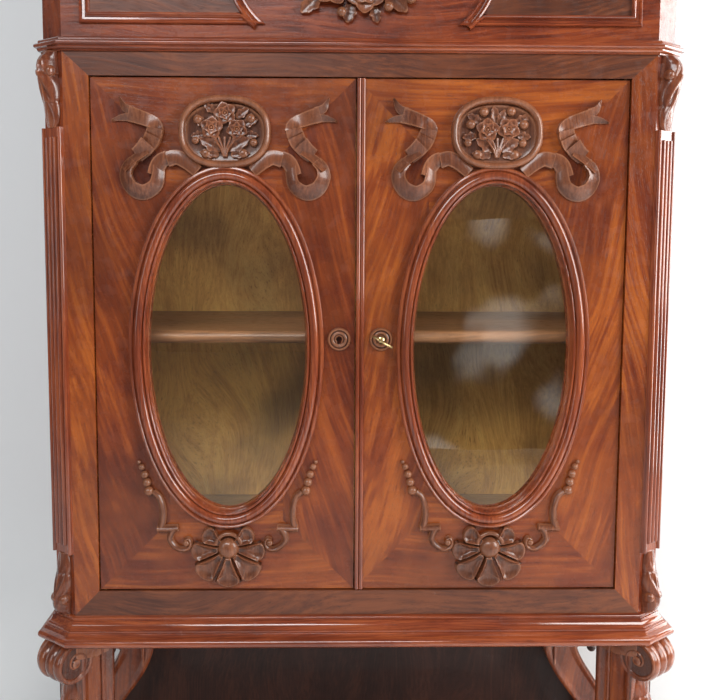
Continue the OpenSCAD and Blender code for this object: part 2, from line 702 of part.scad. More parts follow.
// right door
lock_lo = [right_meet, 12.5, door_bottom + key_z - 35];
lock_hi = [54, door_back, door_bottom + key_z + 36];
module right_door_stiles() color(mahogany) difference() {
    door_stiles(right_meet, door_half, oval_x);
    door_pivot_space();
    keyhole_at(key_x, door_face - 1, door_back);
    box(lock_lo - [1, 0, 0], lock_hi + [0, 1, 0]);
}
module right_door_rails() color(mahogany) difference() {
    door_rails(right_meet, door_half, oval_x);
    door_pivot_space();
}
module right_door_oval_moulding() oval_moulding(oval_x);
module right_door_glass() door_glass(oval_x);
module right_door_glazing_bead() glazing_bead(oval_x);
module right_door_medallion() medallion(oval_x);
module right_door_ribbons() door_ribbons(oval_x);
module right_door_shell() door_shell(oval_x);
module right_door_escutcheon() escutcheon(key_x);
module right_door_pivots() door_pivots();

module meeting_bead() color(mahogany) translate([0, door_face, door_bottom]) linear_extrude(door_h)
intersection() {
    translate([-bead_half, -bead_half]) square([2 * bead_half, bead_half]);
    union() {
        translate([-bead_half, -2]) square([2 * bead_half, 2]);
        for (s = [-1, 1]) translate([s * bead_half / 2, -2]) circle(r = bead_half / 2, $fn = 24);
    }
}

wall = 1.5;
bolt_half = 7;
module right_lock_case() color(brass) difference() {
    box(lock_lo, lock_hi);
    box(lock_lo + [wall, wall, wall], lock_hi - [wall, wall, wall]);
    keyhole_at(key_x, lock_lo[1] - 1, lock_lo[1] + wall + 1);
    box([lock_lo[0] - 1, 16, bolt_z - bolt_half - 0.3],
        [lock_lo[0] + wall + 1, 23, bolt_z + bolt_half + 0.3]);
}
module lock_bolt() color(brass)
    box([right_meet + 0.3, 16.3, bolt_z - bolt_half], [34, 22.7, bolt_z + bolt_half]);

// key: a stem through the escutcheon, an oval bow outside and a bit inside the lock
bow_y = -22;
module key() color(brass) translate([key_x, 0, door_bottom + key_z]) rotate([0, key_tilt, 0]) {
    translate([0, 23, 0]) rotate([90, 0, 0]) cylinder(h = 37, r = 2.8, $fn = 32);
    translate([0, -4, 0]) rotate([90, 0, 0]) cylinder(h = 4, r = 4.2, $fn = 32);
    translate([0, bow_y, -1.8]) linear_extrude(3.6) difference() {
        polygon(oval(14.5, 9.5, 0, 0, 32));
        polygon(oval(8.5, 4.5, 0, 0, 24));
    }
    translate([0, 15.5, -1.4]) cube([8.8, 6, 2.8]);
}

set_back() left_side_panel();
set_back() right_side_panel();
set_back() case_bottom_boards();
set_back() case_ceiling();
set_back() back_frame();
set_back() back_panels();
set_back() top_rail();
set_back() bottom_rail();
set_back() face_stiles();
set_back() corner_posts();
set_back() pilasters();
set_back() corner_corbels();
set_back() waist_moulding();
set_back() base_moulding();
set_back() frieze_board();
set_back() frieze_panel_mouldings();
set_back() frieze_panels();
set_back() frieze_bouquet();
set_back() cornice();
set_back() top_board();
set_back() front_left_leg();
set_back() front_right_leg();
set_back() rear_left_leg();
set_back() rear_right_leg();
set_back() side_aprons();
set_back() stand_back_panel();
set_back() stand_platform();
set_back() bun_feet();
set_back() shelf_racks();
set_back() case_pivot_plates();
set_back() left_door_stiles();
set_back() left_door_rails();
set_back() left_door_oval_moulding();
set_back() left_door_glass();
set_back() left_door_glazing_bead();
set_back() left_door_medallion();
set_back() left_door_ribbons();
set_back() left_door_shell();
set_back() left_door_escutcheon();
set_back() left_door_pivots();
set_back() left_door_hardware();
set_back() left_top_bolt();
set_back() left_bottom_bolt();
set_back() right_door_stiles();
set_back() right_door_rails();
set_back() right_door_oval_moulding();
set_back() right_door_glass();
set_back() right_door_glazing_bead();
set_back() right_door_medallion();
set_back() right_door_ribbons();
set_back() right_door_shell();
set_back() right_door_escutcheon();
set_back() right_door_pivots();
set_back() meeting_bead();
set_back() right_lock_case();
set_back() lock_bolt();
set_back() key();
set_back() shelf();
set_back() left_cleat();
set_back() right_cleat();
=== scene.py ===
import math

import bpy
import numpy as np
from mathutils import Matrix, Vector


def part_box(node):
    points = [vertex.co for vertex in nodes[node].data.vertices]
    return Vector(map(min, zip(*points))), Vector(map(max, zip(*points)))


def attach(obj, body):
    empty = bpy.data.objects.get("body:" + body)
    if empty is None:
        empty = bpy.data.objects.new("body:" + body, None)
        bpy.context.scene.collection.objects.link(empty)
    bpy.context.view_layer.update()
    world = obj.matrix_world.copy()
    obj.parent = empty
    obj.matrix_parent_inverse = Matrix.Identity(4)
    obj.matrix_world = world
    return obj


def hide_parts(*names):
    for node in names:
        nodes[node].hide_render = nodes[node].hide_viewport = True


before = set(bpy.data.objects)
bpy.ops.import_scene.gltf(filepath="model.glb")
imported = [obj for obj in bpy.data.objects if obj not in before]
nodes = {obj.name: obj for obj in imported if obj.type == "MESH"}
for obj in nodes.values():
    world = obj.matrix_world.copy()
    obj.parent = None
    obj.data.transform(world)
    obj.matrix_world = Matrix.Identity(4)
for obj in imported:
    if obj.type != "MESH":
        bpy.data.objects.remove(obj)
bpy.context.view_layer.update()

MM = 0.001

# Planes and centres of the case and its doors, from the frame, in millimetres
FACE_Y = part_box("frieze_board")[0][1] / MM
DOOR_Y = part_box("left_door_stiles")[0][1] / MM
DOOR_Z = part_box("left_door_stiles")[0][2] / MM
BACK_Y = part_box("back_frame")[1][1] / MM
PLATFORM_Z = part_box("stand_platform")[1][2] / MM
UNDERSIDE_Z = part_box("base_moulding")[0][2] / MM
REBATE = 8
# How far the underside of a carving lies inside the face that it stands on
SUNK = 1.0
# How strongly a vertex that stands out of its neighbours counts as an edge
WEAR_AND_SHADE_GAIN = 1.5


def middle(node, axis):
    """Middle of a CAD node's box along an axis, in millimetres."""
    low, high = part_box(node)
    return (low[axis] + high[axis]) / 2 / MM


OVAL_X = middle("right_door_glass", 0)
OVAL_Z = middle("right_door_glass", 2) - DOOR_Z
LIGHT_RX = (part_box("right_door_glass")[1][0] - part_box("right_door_glass")[0][0]) / 2 / MM - REBATE
LIGHT_RZ = (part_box("right_door_glass")[1][2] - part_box("right_door_glass")[0][2]) / 2 / MM - REBATE


# ---------- surfaces ----------

def skin(rings, loop):
    """Skin over a stack of closed rings, an (n, m, 3) array: quads join neighbouring rings, and an open
    stack gets a fan to the middle of each end ring. Faces are turned so that the volume inside is
    positive."""
    n, m = rings.shape[:2]
    i = np.arange(n if loop else n - 1)[:, None]
    j = np.arange(m)[None, :]
    following = (i + 1) % n
    quads = np.stack(np.broadcast_arrays(i * m + j, i * m + (j + 1) % m,
                                         following * m + (j + 1) % m, following * m + j), -1).reshape(-1, 4)
    points = rings.reshape(-1, 3)
    fans = np.zeros((0, 3), int)
    if not loop:
        points = np.vstack([points, rings[0].mean(0), rings[-1].mean(0)])
        j = np.arange(m)
        last = (n - 1) * m
        fans = np.vstack([np.stack([np.full(m, n * m), (j + 1) % m, j], -1),
                          np.stack([np.full(m, n * m + 1), last + j, last + (j + 1) % m], -1)])
    triangles = np.vstack([quads[:, [0, 1, 2]], quads[:, [0, 2, 3]], fans])
    a, b, c = (points[triangles[:, k]] - points.mean(0) for k in range(3))
    if np.einsum("ij,ij->", a, np.cross(b, c)) < 0:
        quads, fans = quads[:, ::-1], fans[:, ::-1]
    return points, quads, fans


def mark_wear_and_shade(mesh):
    """Stores how far each vertex stands out of its neighbours, as a vertex attribute of wear and shade: 0 in
    a hollow, half on an even surface, 1 on an edge. It is worked out from the mean offset of the neighbours
    along the normal, over their distance. Materials paint shade into the hollows by it, and lighten the
    edges by it, partly as handling wear and partly as a painted highlight."""
    count = len(mesh.vertices)
    points, normals = np.empty(count * 3), np.empty(count * 3)
    ends = np.empty(len(mesh.edges) * 2, int)
    mesh.vertices.foreach_get("co", points)
    mesh.vertices.foreach_get("normal", normals)
    mesh.edges.foreach_get("vertices", ends)
    points, normals, ends = points.reshape(-1, 3), normals.reshape(-1, 3), ends.reshape(-1, 2)
    both = np.vstack([ends, ends[:, ::-1]])
    offset = points[both[:, 1]] - points[both[:, 0]]
    total, reach = np.zeros((count, 3)), np.zeros(count)
    np.add.at(total, both[:, 0], offset)
    np.add.at(reach, both[:, 0], np.linalg.norm(offset, axis=1))
    sunk = np.einsum("ij,ij->i", total, normals) / np.maximum(reach, 1e-9)
    wear_and_shade = mesh.attributes.new("wear_and_shade", "FLOAT", "POINT")
    wear_and_shade.data.foreach_set("value", np.clip(0.5 - WEAR_AND_SHADE_GAIN * sunk, 0, 1))


def add_object(name, data):
    """An object in the scene for a mesh, a lamp or a camera."""
    obj = bpy.data.objects.new(name, data)
    bpy.context.scene.collection.objects.link(obj)
    return obj


def piece(name, shapes, place, body, material, replaced, sharp=38):
    """One mesh object from shapes, each a stack of rings in local millimetres, that a function puts in
    place."""
    points, faces, start = [], [], 0
    for rings, loop in shapes:
        p, quads, fans = skin(place(np.asarray(rings, float)), loop)
        points.append(p)
        faces += (quads + start).tolist() + (fans + start).tolist()
        start += len(p)
    mesh = bpy.data.meshes.new(name)
    mesh.from_pydata((np.vstack(points) * MM).tolist(), [], faces)
    mesh.polygons.foreach_set("use_smooth", np.ones(len(mesh.polygons), bool))
    mesh.set_sharp_from_angle(angle=math.radians(sharp))
    mark_wear_and_shade(mesh)
    mesh.materials.append(material)
    obj = add_object(name, mesh)
    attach(obj, body)
    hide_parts(*replaced)


def spline(points, count):
    """Smooth curve through points: a uniform Catmull-Rom spline, sampled evenly in its parameter."""
    p = np.asarray(points, float)
    p = np.vstack([2 * p[0] - p[1], p, 2 * p[-1] - p[-2]])
    t = np.linspace(0, len(p) - 3 - 1e-9, count)
    k = t.astype(int)
    f = (t - k)[:, None]
    a, b, c, d = p[k], p[k + 1], p[k + 2], p[k + 3]
    square, cube = 2 * a - 5 * b + 4 * c - d, 3 * b - a - 3 * c + d
    return 0.5 * (2 * b + (c - a) * f + square * f ** 2 + cube * f ** 3)


def unit(v):
    """Vectors at length one."""
    return v / np.maximum(np.linalg.norm(v, axis=-1, keepdims=True), 1e-9)


def mitred(n1, n2):
    """The shift of a corner that moves both its sides one unit along their normals."""
    return (n1 + n2) / (1 + (n1 * n2).sum(-1, keepdims=True))


def across_path(path):
    """Unit normals in the plane of a path, on its left hand."""
    along = unit(np.gradient(path, axis=0))
    return np.stack([-along[:, 1], along[:, 0]], -1)


# Local shapes are (x, out, z): x and z lie in the face, and out stands proud of it.

def band(path, width, tops):
    """Relief along an (x, z) path: across its width the top stands at the given heights, an (n, k) array,
    and a flat underside lies just inside the face."""
    path = np.asarray(path, float)
    n, k = tops.shape
    width = np.broadcast_to(width, n)
    s = np.linspace(-0.5, 0.5, k)
    xz = path[:, None] + across_path(path)[:, None] * (width[:, None] * s)[..., None]
    top = np.stack([xz[..., 0], tops, xz[..., 1]], -1)
    under = top[:, [k - 1, 0]].copy()
    under[..., 1] = -SUNK
    return np.concatenate([top, under], 1), False


def dome(outline, centre, levels, lift=lambda x, z: 0 * x):
    """Relief over an (m, 2) outline: copies of it shrunk towards the centre stand at the heights of
    levels, a list of (share of the outline, height); lift adds a height that depends on x and z."""
    outline, centre = np.asarray(outline, float), np.asarray(centre, float)
    rings = []
    for share, height in levels:
        xz = centre + (outline - centre) * share
        rings.append(np.stack([xz[:, 0], height + lift(*xz.T), xz[:, 1]], -1))
    rings.append(np.stack([outline[:, 0], np.full(len(outline), -SUNK), outline[:, 1]], -1))
    return np.array(rings), False


def ball(centre, radius, flat=1.0, sides=14):
    """A ball, flattened towards the face: rings of latitude about the outward axis."""
    a = np.linspace(0.12, math.pi - 0.12, 9)[:, None]
    b = np.linspace(0, 2 * math.pi, sides, endpoint=False)[None]
    x, out, z = centre
    return np.stack([x + radius * np.sin(a) * np.cos(b), out + radius * flat * np.cos(a) + 0 * b,
                     z + radius * np.sin(a) * np.sin(b)], -1), False


def petal(base, angle, length, width, height, cup=0.25, thick=1.6, rise=0.0, frill=0.0):
    """A petal or leaf lying over the face: its half width follows the sine of the way along it, its
    edges turn up by cup times the width, its tip rises, and frill waves its outline."""
    u = np.linspace(0.03, 0.97, 11)[:, None]
    a = np.linspace(0, 2 * math.pi, 14, endpoint=False)[None]
    half = width / 2 * np.sin(math.pi * u ** 0.8) ** 0.7 * (1 + frill * np.sin(18 * u))
    s = half * np.cos(a)
    out = (height + rise * u + cup * s ** 2 / (width / 2) + thick * np.sin(a) * np.sin(math.pi * u) ** 0.5
           - 1.5 * cup * (np.abs(s) < 0.12 * width) * np.sin(math.pi * u))
    ca, sa = math.cos(angle), math.sin(angle)
    w = u * length + 0 * s
    return np.stack([base[0] + w * ca - s * sa, out, base[1] + w * sa + s * ca], -1), False


def rope(points, radius, sides=10):
    """Round stem along (x, out, z) points; its rings stand square to the path."""
    points = np.asarray(points, float)
    along = unit(np.gradient(points, axis=0))
    side = unit(np.cross(along, [0.03, 1, 0.05]))
    other = np.cross(side, along)
    a = np.linspace(0, 2 * math.pi, sides, endpoint=False)[None, :, None]
    radius = np.broadcast_to(radius, len(points))[:, None, None]
    return points[:, None] + radius * (np.cos(a) * side[:, None] + np.sin(a) * other[:, None]), False


def turned(profile, centre, sides=48, loop=False, axis=1):
    """A profile of (radius, distance along the axis) points turned about an axis through a centre: axis is
    0 for one that runs across, 1 outwards and 2 upwards."""
    profile = np.asarray(profile, float)
    a = np.linspace(0, 2 * math.pi, sides, endpoint=False)[None]
    parts = [centre[0] + profile[:, :1] * np.cos(a), centre[1] + profile[:, :1] * np.sin(a)]
    parts.insert(axis, profile[:, 1:] + 0 * a)
    return np.stack(parts, -1), loop


def framed(outline, profile, outward=1):
    """A closed moulding round an (n, 2) outline: its (offset, out) profile stands on the normals."""
    outline, profile = np.asarray(outline, float), np.asarray(profile, float)
    before, after = np.roll(outline, 1, 0), np.roll(outline, -1, 0)
    n1, n2 = unit(outline - before), unit(after - outline)
    n1, n2 = np.stack([n1[:, 1], -n1[:, 0]], -1), np.stack([n2[:, 1], -n2[:, 0]], -1)
    xz = outline[:, None] + outward * mitred(n1, n2)[:, None] * profile[None, :, :1]
    return np.stack([xz[..., 0], profile[None, :, 1] + 0 * xz[..., 0], xz[..., 1]], -1), True


def arc(centre, radius, start, end, count=9):
    """Points of an arc, from one angle to another in degrees."""
    a = np.radians(np.linspace(start, end, count))
    return [(centre[0] + radius * math.cos(t), centre[1] + radius * math.sin(t)) for t in a]


def ellipse(rx, rz, centre, count=144, power=2.0):
    """A closed curve of a given squareness: |x/rx| and |z/rz| to that power add up to one."""
    a = np.linspace(0, 2 * math.pi, count, endpoint=False)
    c, s = np.cos(a), np.sin(a)
    return np.stack([centre[0] + rx * np.sign(c) * np.abs(c) ** (2 / power),
                     centre[1] + rz * np.sign(s) * np.abs(s) ** (2 / power)], -1)


def facing(x, y, z):
    """Puts local shapes on a front face, around the point (x, y, z)."""
    def place(p):
        return np.stack([x + p[..., 0], y - p[..., 1], z + p[..., 2]], -1)
    return place


on_case = facing(0, FACE_Y, 0)


# ---------- materials ----------

def node_in(tree, kind, inputs=None, **settings):
    """Adds a node, sets its properties, and fills its inputs with values or with links from sockets."""
    made = tree.nodes.new(kind)
    for key, value in settings.items():
        setattr(made, key, value)
    for key, value in (inputs or {}).items():
        if isinstance(value, bpy.types.NodeSocket):
            tree.links.new(value, made.inputs[key])
        else:
            made.inputs[key].default_value = value
    return made


def new_group(name, inputs, outputs):
    """An empty shader group; inputs and outputs are (name, kind, default) and (name, kind)."""
    tree = bpy.data.node_groups.new(name, "ShaderNodeTree")
    for label, kind, default in inputs:
        socket = tree.interface.new_socket(label, in_out="INPUT", socket_type="NodeSocket" + kind)
        if default is not None:
            socket.default_value = default
    for label, kind in outputs:
        tree.interface.new_socket(label, in_out="OUTPUT", socket_type="NodeSocket" + kind)
    return tree, tree.nodes.new("NodeGroupInput"), tree.nodes.new("NodeGroupOutput")


def maths(tree, operation, a, b=0.0, clamp=False):
    """One step of arithmetic on values or sockets."""
    made = node_in(tree, "ShaderNodeMath", {0: a, 1: b}, operation=operation, use_clamp=clamp)
    return made.outputs[0]


def ramped(tree, value, low, high):
    """A value taken from its range low to high into 0 to 1, smoothly."""
    made = node_in(tree, "ShaderNodeMapRange", {"Value": value, "From Min": low, "From Max": high},
                   interpolation_type="SMOOTHSTEP")
    return made.outputs["Result"]


def mixed(tree, factor, a, b):
    """Colour b over colour a by a factor; a colour is a socket, or red, green and blue."""
    a, b = (c if isinstance(c, bpy.types.NodeSocket) else (*c, 1) for c in (a, b))
    made = node_in(tree, "ShaderNodeMix", {"Factor": factor, "A": a, "B": b}, data_type="RGBA")
    return made.outputs["Result"]


def vector_maths(tree, operation, inputs):
    """One step of arithmetic on vectors."""
    return node_in(tree, "ShaderNodeVectorMath", inputs, operation=operation).outputs[0]


def noise(tree, vector, scale, detail, rough=0.5):
    """A noise texture over a vector."""
    return node_in(tree, "ShaderNodeTexNoise", {"Vector": vector, "Scale": scale, "Detail": detail,
                                                "Roughness": rough})


def wood_grain_group():
    """Grain along Z: warped noise stretched along the grain gives the figure, finer noise the streaks,
    very fine noise the pores, and noise across the grain the changing sheen of figured mahogany."""
    tree, inside, out = new_group(
        "wood_grain", [("Vector", "Vector", None), ("Sweep", "Float", 1.0), ("Fineness", "Float", 1.0)],
        [("Figure", "Float"), ("Pores", "Float"), ("Sheen", "Float")])

    def stretched(vector, scale, detail, rough=0.55):
        spread = vector_maths(tree, "MULTIPLY", {0: vector, 1: scale})
        return noise(tree, spread, 1.0, detail, rough)

    vector = inside.outputs["Vector"]
    bend = stretched(vector, (2.6, 2.6, 1.5), 2.0).outputs["Color"]
    bend = vector_maths(tree, "SUBTRACT", {0: bend, 1: (0.5, 0.5, 0.5)})
    amount = maths(tree, "MULTIPLY", inside.outputs["Sweep"], 0.22)
    bend = vector_maths(tree, "SCALE", {0: bend, "Scale": amount})
    warped = vector_maths(tree, "ADD", {0: vector, 1: bend})
    fine = vector_maths(tree, "SCALE", {0: warped, "Scale": inside.outputs["Fineness"]})
    broad = maths(tree, "MULTIPLY", stretched(fine, (22, 22, 2.0), 4.0).outputs["Fac"], 0.52)
    streaks = maths(tree, "MULTIPLY", stretched(fine, (210, 210, 6.0), 3.0).outputs["Fac"], 0.48)
    pores = stretched(warped, (1100, 1100, 55), 2.0, 0.6).outputs["Fac"]
    sheen = stretched(warped, (9, 9, 16), 2.0).outputs["Fac"]
    for label, value, low, high in (("Figure", maths(tree, "ADD", broad, streaks), 0.34, 0.66),
                                    ("Pores", pores, 0.56, 0.72), ("Sheen", sheen, 0.3, 0.7)):
        tree.links.new(ramped(tree, value, low, high), out.inputs[label])
    return tree


def patina_group():
    """Age on a surface: broad noise darkens a colour in clouds, and finer noise makes dull spots."""
    tree, inside, out = new_group(
        "patina", [("Vector", "Vector", None), ("Color", "Color", None), ("Amount", "Float", 0.4)],
        [("Color", "Color"), ("Dullness", "Float")])
    clouds = noise(tree, inside.outputs["Vector"], 4.5, 5.0).outputs["Fac"]
    spots = noise(tree, inside.outputs["Vector"], 60.0, 4.0).outputs["Fac"]
    amount = maths(tree, "MULTIPLY", ramped(tree, clouds, 0.42, 0.72), inside.outputs["Amount"])
    tree.links.new(mixed(tree, amount, inside.outputs["Color"], (0.035, 0.012, 0.008)), out.inputs["Color"])
    tree.links.new(ramped(tree, spots, 0.5, 0.75), out.inputs["Dullness"])
    return tree


def depth_group():
    """How far a point of a carving stands out of its plane: 0 in the ground, 1 at the full depth."""
    tree, inside, out = new_group("carved_depth", [("Vector", "Vector", None), ("Plane", "Float", 0.0),
                                                   ("Depth", "Float", 0.012)], [("Height", "Float")])
    y = node_in(tree, "ShaderNodeSeparateXYZ", {0: inside.outputs["Vector"]}).outputs["Y"]
    proud = maths(tree, "SUBTRACT", inside.outputs["Plane"], y)
    tree.links.new(maths(tree, "DIVIDE", proud, inside.outputs["Depth"], clamp=True), out.inputs["Height"])
    return tree


def rubbed_and_shaded_group():
    """Light and handling over a carving: an edge is lightened towards a colour, partly as handling wear and
    partly as a painted highlight, and a hollow is darkened as painted shade.
    """
    tree, inside, out = new_group(
        "rubbed_and_highlit", [("Color", "Color", None), ("Wear_and_Shade", "Float", 0.5), ("Rubbed and Highlight Color", "Color", None)],
        [("Color", "Color")])
    # Painted shade darkens a hollow towards near-black; an edge is lightened partly as wear and partly as a
    # painted highlight.
    hollow = ramped(tree, maths(tree, "SUBTRACT", 0.5, inside.outputs["Wear_and_Shade"]), 0.02, 0.30)
    edge = ramped(tree, maths(tree, "SUBTRACT", inside.outputs["Wear_and_Shade"], 0.5), 0.02, 0.35)
    dark = mixed(tree, maths(tree, "MULTIPLY", hollow, 0.6), inside.outputs["Color"], (0.016, 0.006, 0.004))
    light = mixed(tree, maths(tree, "MULTIPLY", edge, 0.38), dark, inside.outputs["Rubbed and Highlight Color"])
    tree.links.new(light, out.inputs["Color"])
    return tree


GRAIN, PATINA, DEPTH, RUBBED_AND_SHADED = wood_grain_group(), patina_group(), depth_group(), rubbed_and_shaded_group()


def grouped(tree, group, inputs):
    """Adds a shader group with its inputs filled."""
    return node_in(tree, "ShaderNodeGroup", inputs, node_tree=group)


def new_material(name):
    """A material, its tree, its Principled shader and the object's own coordinates."""
    material = bpy.data.materials.new(name)
    material.use_nodes = True
    tree = material.node_tree
    coords = tree.nodes.new("ShaderNodeTexCoord").outputs["Object"]
    return material, tree, tree.nodes["Principled BSDF"], coords


def bumped(tree, shader, strength, distance, height):
    """Feeds a height to a shader's normal."""
    bump = node_in(tree, "ShaderNodeBump", {"Strength": strength, "Distance": distance, "Height": height})
    tree.links.new(bump.outputs[0], shader.inputs["Normal"])


def see_through(tree, shader, share):
    """Mixes a clear shader into a material's surface by a share."""
    clear = tree.nodes.new("ShaderNodeBsdfTransparent").outputs[0]
    surface = node_in(tree, "ShaderNodeMixShader", {0: share, 1: shader.outputs[0], 2: clear}).outputs[0]
    tree.links.new(surface, tree.nodes["Material Output"].inputs["Surface"])


def wood(name, dark, middle_tone, light, turn=(0, 0, 0), sweep=1.0, fineness=1.0, gloss=0.26, coat=0.3,
         aged=0.35, pores=0.55, texture=0.35, plane=None, shift=(0, 0, 0), rubbed_and_highlit=None):
    """Polished wood. turn lays the grain, which runs along Z before it; plane is the ground of a carving,
    towards which its hollows are painted darker as shade; with a rubbed colour, edges are lightened towards
    it, partly as handling wear and partly as a painted highlight, and hollows get a further painted shade."""
    material, tree, shader, coords = new_material(name)
    laid = node_in(tree, "ShaderNodeMapping", {"Vector": coords, "Rotation": [math.radians(t) for t in turn],
                                               "Location": shift}).outputs[0]
    grain = grouped(tree, GRAIN, {"Vector": laid, "Sweep": sweep, "Fineness": fineness})
    figure, pore = grain.outputs["Figure"], grain.outputs["Pores"]
    ramp = node_in(tree, "ShaderNodeValToRGB", {"Fac": figure})
    ramp.color_ramp.elements[0].color = (*dark, 1)
    ramp.color_ramp.elements[1].color = (*light, 1)
    ramp.color_ramp.elements.new(0.52).color = (*middle_tone, 1)
    colour = mixed(tree, maths(tree, "MULTIPLY", grain.outputs["Sheen"], 0.28), ramp.outputs["Color"], light)
    colour = mixed(tree, maths(tree, "MULTIPLY", pore, pores), colour, [c * 0.35 for c in dark])
    patina = grouped(tree, PATINA, {"Vector": coords, "Color": colour, "Amount": aged})
    colour = patina.outputs["Color"]
    if plane is not None:
        # Painted shade: the nearer a point lies to the ground of the carving, the darker it is painted.
        height = grouped(tree, DEPTH, {"Vector": coords, "Plane": plane * MM, "Depth": 0.013}).outputs[0]
        hollow = maths(tree, "MULTIPLY", maths(tree, "SUBTRACT", 1.0, height), 0.55)
        colour = mixed(tree, hollow, colour, (0.03, 0.012, 0.008))
    if rubbed_and_highlit is not None:
        # Edges lightened towards the rubbed colour partly as wear and partly as a painted highlight; hollows
        # darkened as painted shade.
        wear_and_shade = node_in(tree, "ShaderNodeAttribute", attribute_name="wear_and_shade").outputs["Fac"]
        worn_and_lit = {"Color": colour, "Wear_and_Shade": wear_and_shade, "Rubbed and Highlight Color": (*rubbed_and_highlit, 1)}
        colour = grouped(tree, RUBBED_AND_SHADED, worn_and_lit).outputs[0]
    tree.links.new(colour, shader.inputs["Base Color"])
    rough = maths(tree, "ADD", maths(tree, "MULTIPLY", patina.outputs["Dullness"], 0.16),
                  maths(tree, "MULTIPLY", pore, 0.12))
    tree.links.new(maths(tree, "ADD", rough, gloss), shader.inputs["Roughness"])
    bumped(tree, shader, texture, 0.0002, maths(tree, "SUBTRACT", figure, pore))
    shader.inputs["Specular IOR Level"].default_value = 0.4
    shader.inputs["Coat Weight"].default_value = coat
    shader.inputs["Coat Roughness"].default_value = 0.10
    return material


def brass(name, bright, brown):
    """Worn brass: noise browns it where polish doesn't reach, with fine scratches in its roughness."""
    material, tree, shader, coords = new_material(name)
    tarnish = noise(tree, coords, 140.0, 6.0).outputs["Fac"]
    mask = ramped(tree, tarnish, 0.4, 0.68)
    tree.links.new(mixed(tree, mask, bright, brown), shader.inputs["Base Color"])
    tree.links.new(maths(tree, "ADD", maths(tree, "MULTIPLY", mask, 0.3), 0.24), shader.inputs["Roughness"])
    bumped(tree, shader, 0.3, 0.0002, tarnish)
    shader.inputs["Metallic"].default_value = 1.0
    return material


def old_glass():
    """Old sheet glass: clear and faintly green, with slow waves in it; it lets light in to the shelf."""
    material, tree, shader, coords = new_material("old_glass")
    shader.inputs["Base Color"].default_value = (0.93, 0.95, 0.90, 1)
    shader.inputs["Transmission Weight"].default_value = 1.0
    shader.inputs["Roughness"].default_value = 0.0
    shader.inputs["IOR"].default_value = 1.5
    bumped(tree, shader, 0.12, 0.0015, noise(tree, coords, 9.0, 1.0).outputs["Fac"])
    see_through(tree, shader, tree.nodes.new("ShaderNodeLightPath").outputs["Is Shadow Ray"])
    return material


# Colours of the woods, from the dark to the light of their figure, and the finish of the relief carvings,
# whose rubbed colour lightens edges partly as wear and partly as a painted highlight
RED = dict(dark=(0.085, 0.013, 0.005), middle_tone=(0.20, 0.034, 0.010), light=(0.33, 0.070, 0.017))
ORANGE = dict(dark=(0.13, 0.020, 0.006), middle_tone=(0.24, 0.046, 0.010), light=(0.43, 0.108, 0.018))
UMBER = dict(dark=(0.055, 0.013, 0.005), middle_tone=(0.115, 0.029, 0.010), light=(0.20, 0.053, 0.016))
# The orange tones darkened by about a fifth, as painted shade for the left door, which lies away from the
# light.
ORANGE_IN_SHADE = dict(dark=(0.10, 0.015, 0.005), middle_tone=(0.19, 0.034, 0.009), light=(0.36, 0.082, 0.015))
RUSSET = dict(dark=(0.12, 0.020, 0.008), middle_tone=(0.24, 0.046, 0.016), light=(0.37, 0.088, 0.028))
# Mahogany tones darkened nearly to black, as painted shade for the stand's back panel in the shadow under
# the case.
PANEL_IN_SHADE = dict(dark=(0.016, 0.006, 0.004), middle_tone=(0.032, 0.011, 0.007), light=(0.060, 0.020, 0.011))
RELIEF = dict(dark=(0.10, 0.026, 0.011), middle_tone=(0.20, 0.060, 0.026), light=(0.32, 0.11, 0.050),
              sweep=0.6, fineness=1.4, gloss=0.27, coat=0.35, rubbed_and_highlit=(0.44, 0.18, 0.085))

case_wood = wood("case_mahogany", **RED)
stile_wood = wood("flame_stiles_case", **ORANGE, turn=(0, 10, 0), sweep=0.7, fineness=0.8)
left_flame = wood("flame_left_door", **ORANGE_IN_SHADE, turn=(0, 16, 0), sweep=0.65, fineness=0.7, shift=(0.3, 0, 0.1))
right_flame = wood("flame_right_door", **ORANGE, turn=(0, -16, 0), sweep=0.65, fineness=0.7,
                   shift=(-0.3, 0, 0.4))
level_veneer = wood("veneer_laid_level", **ORANGE, turn=(0, 90, 0), sweep=0.5, fineness=0.8)
dark_band = wood("dark_crossband", **UMBER, turn=(0, 90, 0), sweep=1.3, gloss=0.34, aged=0.2)
# The stand's back panel and side aprons, in painted shade.
panel_in_painted_shade = wood("panel_in_painted_shade", **PANEL_IN_SHADE, sweep=1.2, gloss=0.45, coat=0.1, aged=0.3)
level_moulding = wood("moulding_mahogany", **RUSSET, turn=(0, 90, 0), sweep=0.3, fineness=1.6, gloss=0.12,
                      coat=0.9, aged=0.25, texture=0.06)
# A finish here with a rubbed colour lightens edges partly as wear and partly as a painted highlight, and
# darkens hollows as painted shade.
oval_moulding_wood = wood("oval_moulding_mahogany", **RUSSET, sweep=0.4, fineness=1.5, gloss=0.12, coat=0.8,
                          texture=0.08, rubbed_and_highlit=(0.52, 0.20, 0.10))
plain_bead = wood("plain_bead_mahogany", **RED)
reeded_wood = wood("reeded_mahogany", **RUSSET, sweep=0.3, fineness=1.6, gloss=0.10, coat=1.0, aged=0.25,
                   texture=0.06)
carved = wood("carved_mahogany", **RELIEF, plane=DOOR_Y)
carved_front = wood("carved_frieze", **RELIEF, plane=FACE_Y)
carved_round = wood("carved_in_the_round", (0.07, 0.014, 0.007), (0.16, 0.036, 0.014), (0.27, 0.075, 0.028),
                    sweep=0.7, fineness=1.2, gloss=0.24, coat=0.5, rubbed_and_highlit=(0.45, 0.17, 0.08))
leg_wood = wood("leg_mahogany", (0.085, 0.015, 0.006), (0.21, 0.044, 0.014), (0.36, 0.092, 0.026), sweep=0.8,
                gloss=0.24, coat=0.5, rubbed_and_highlit=(0.50, 0.20, 0.10))
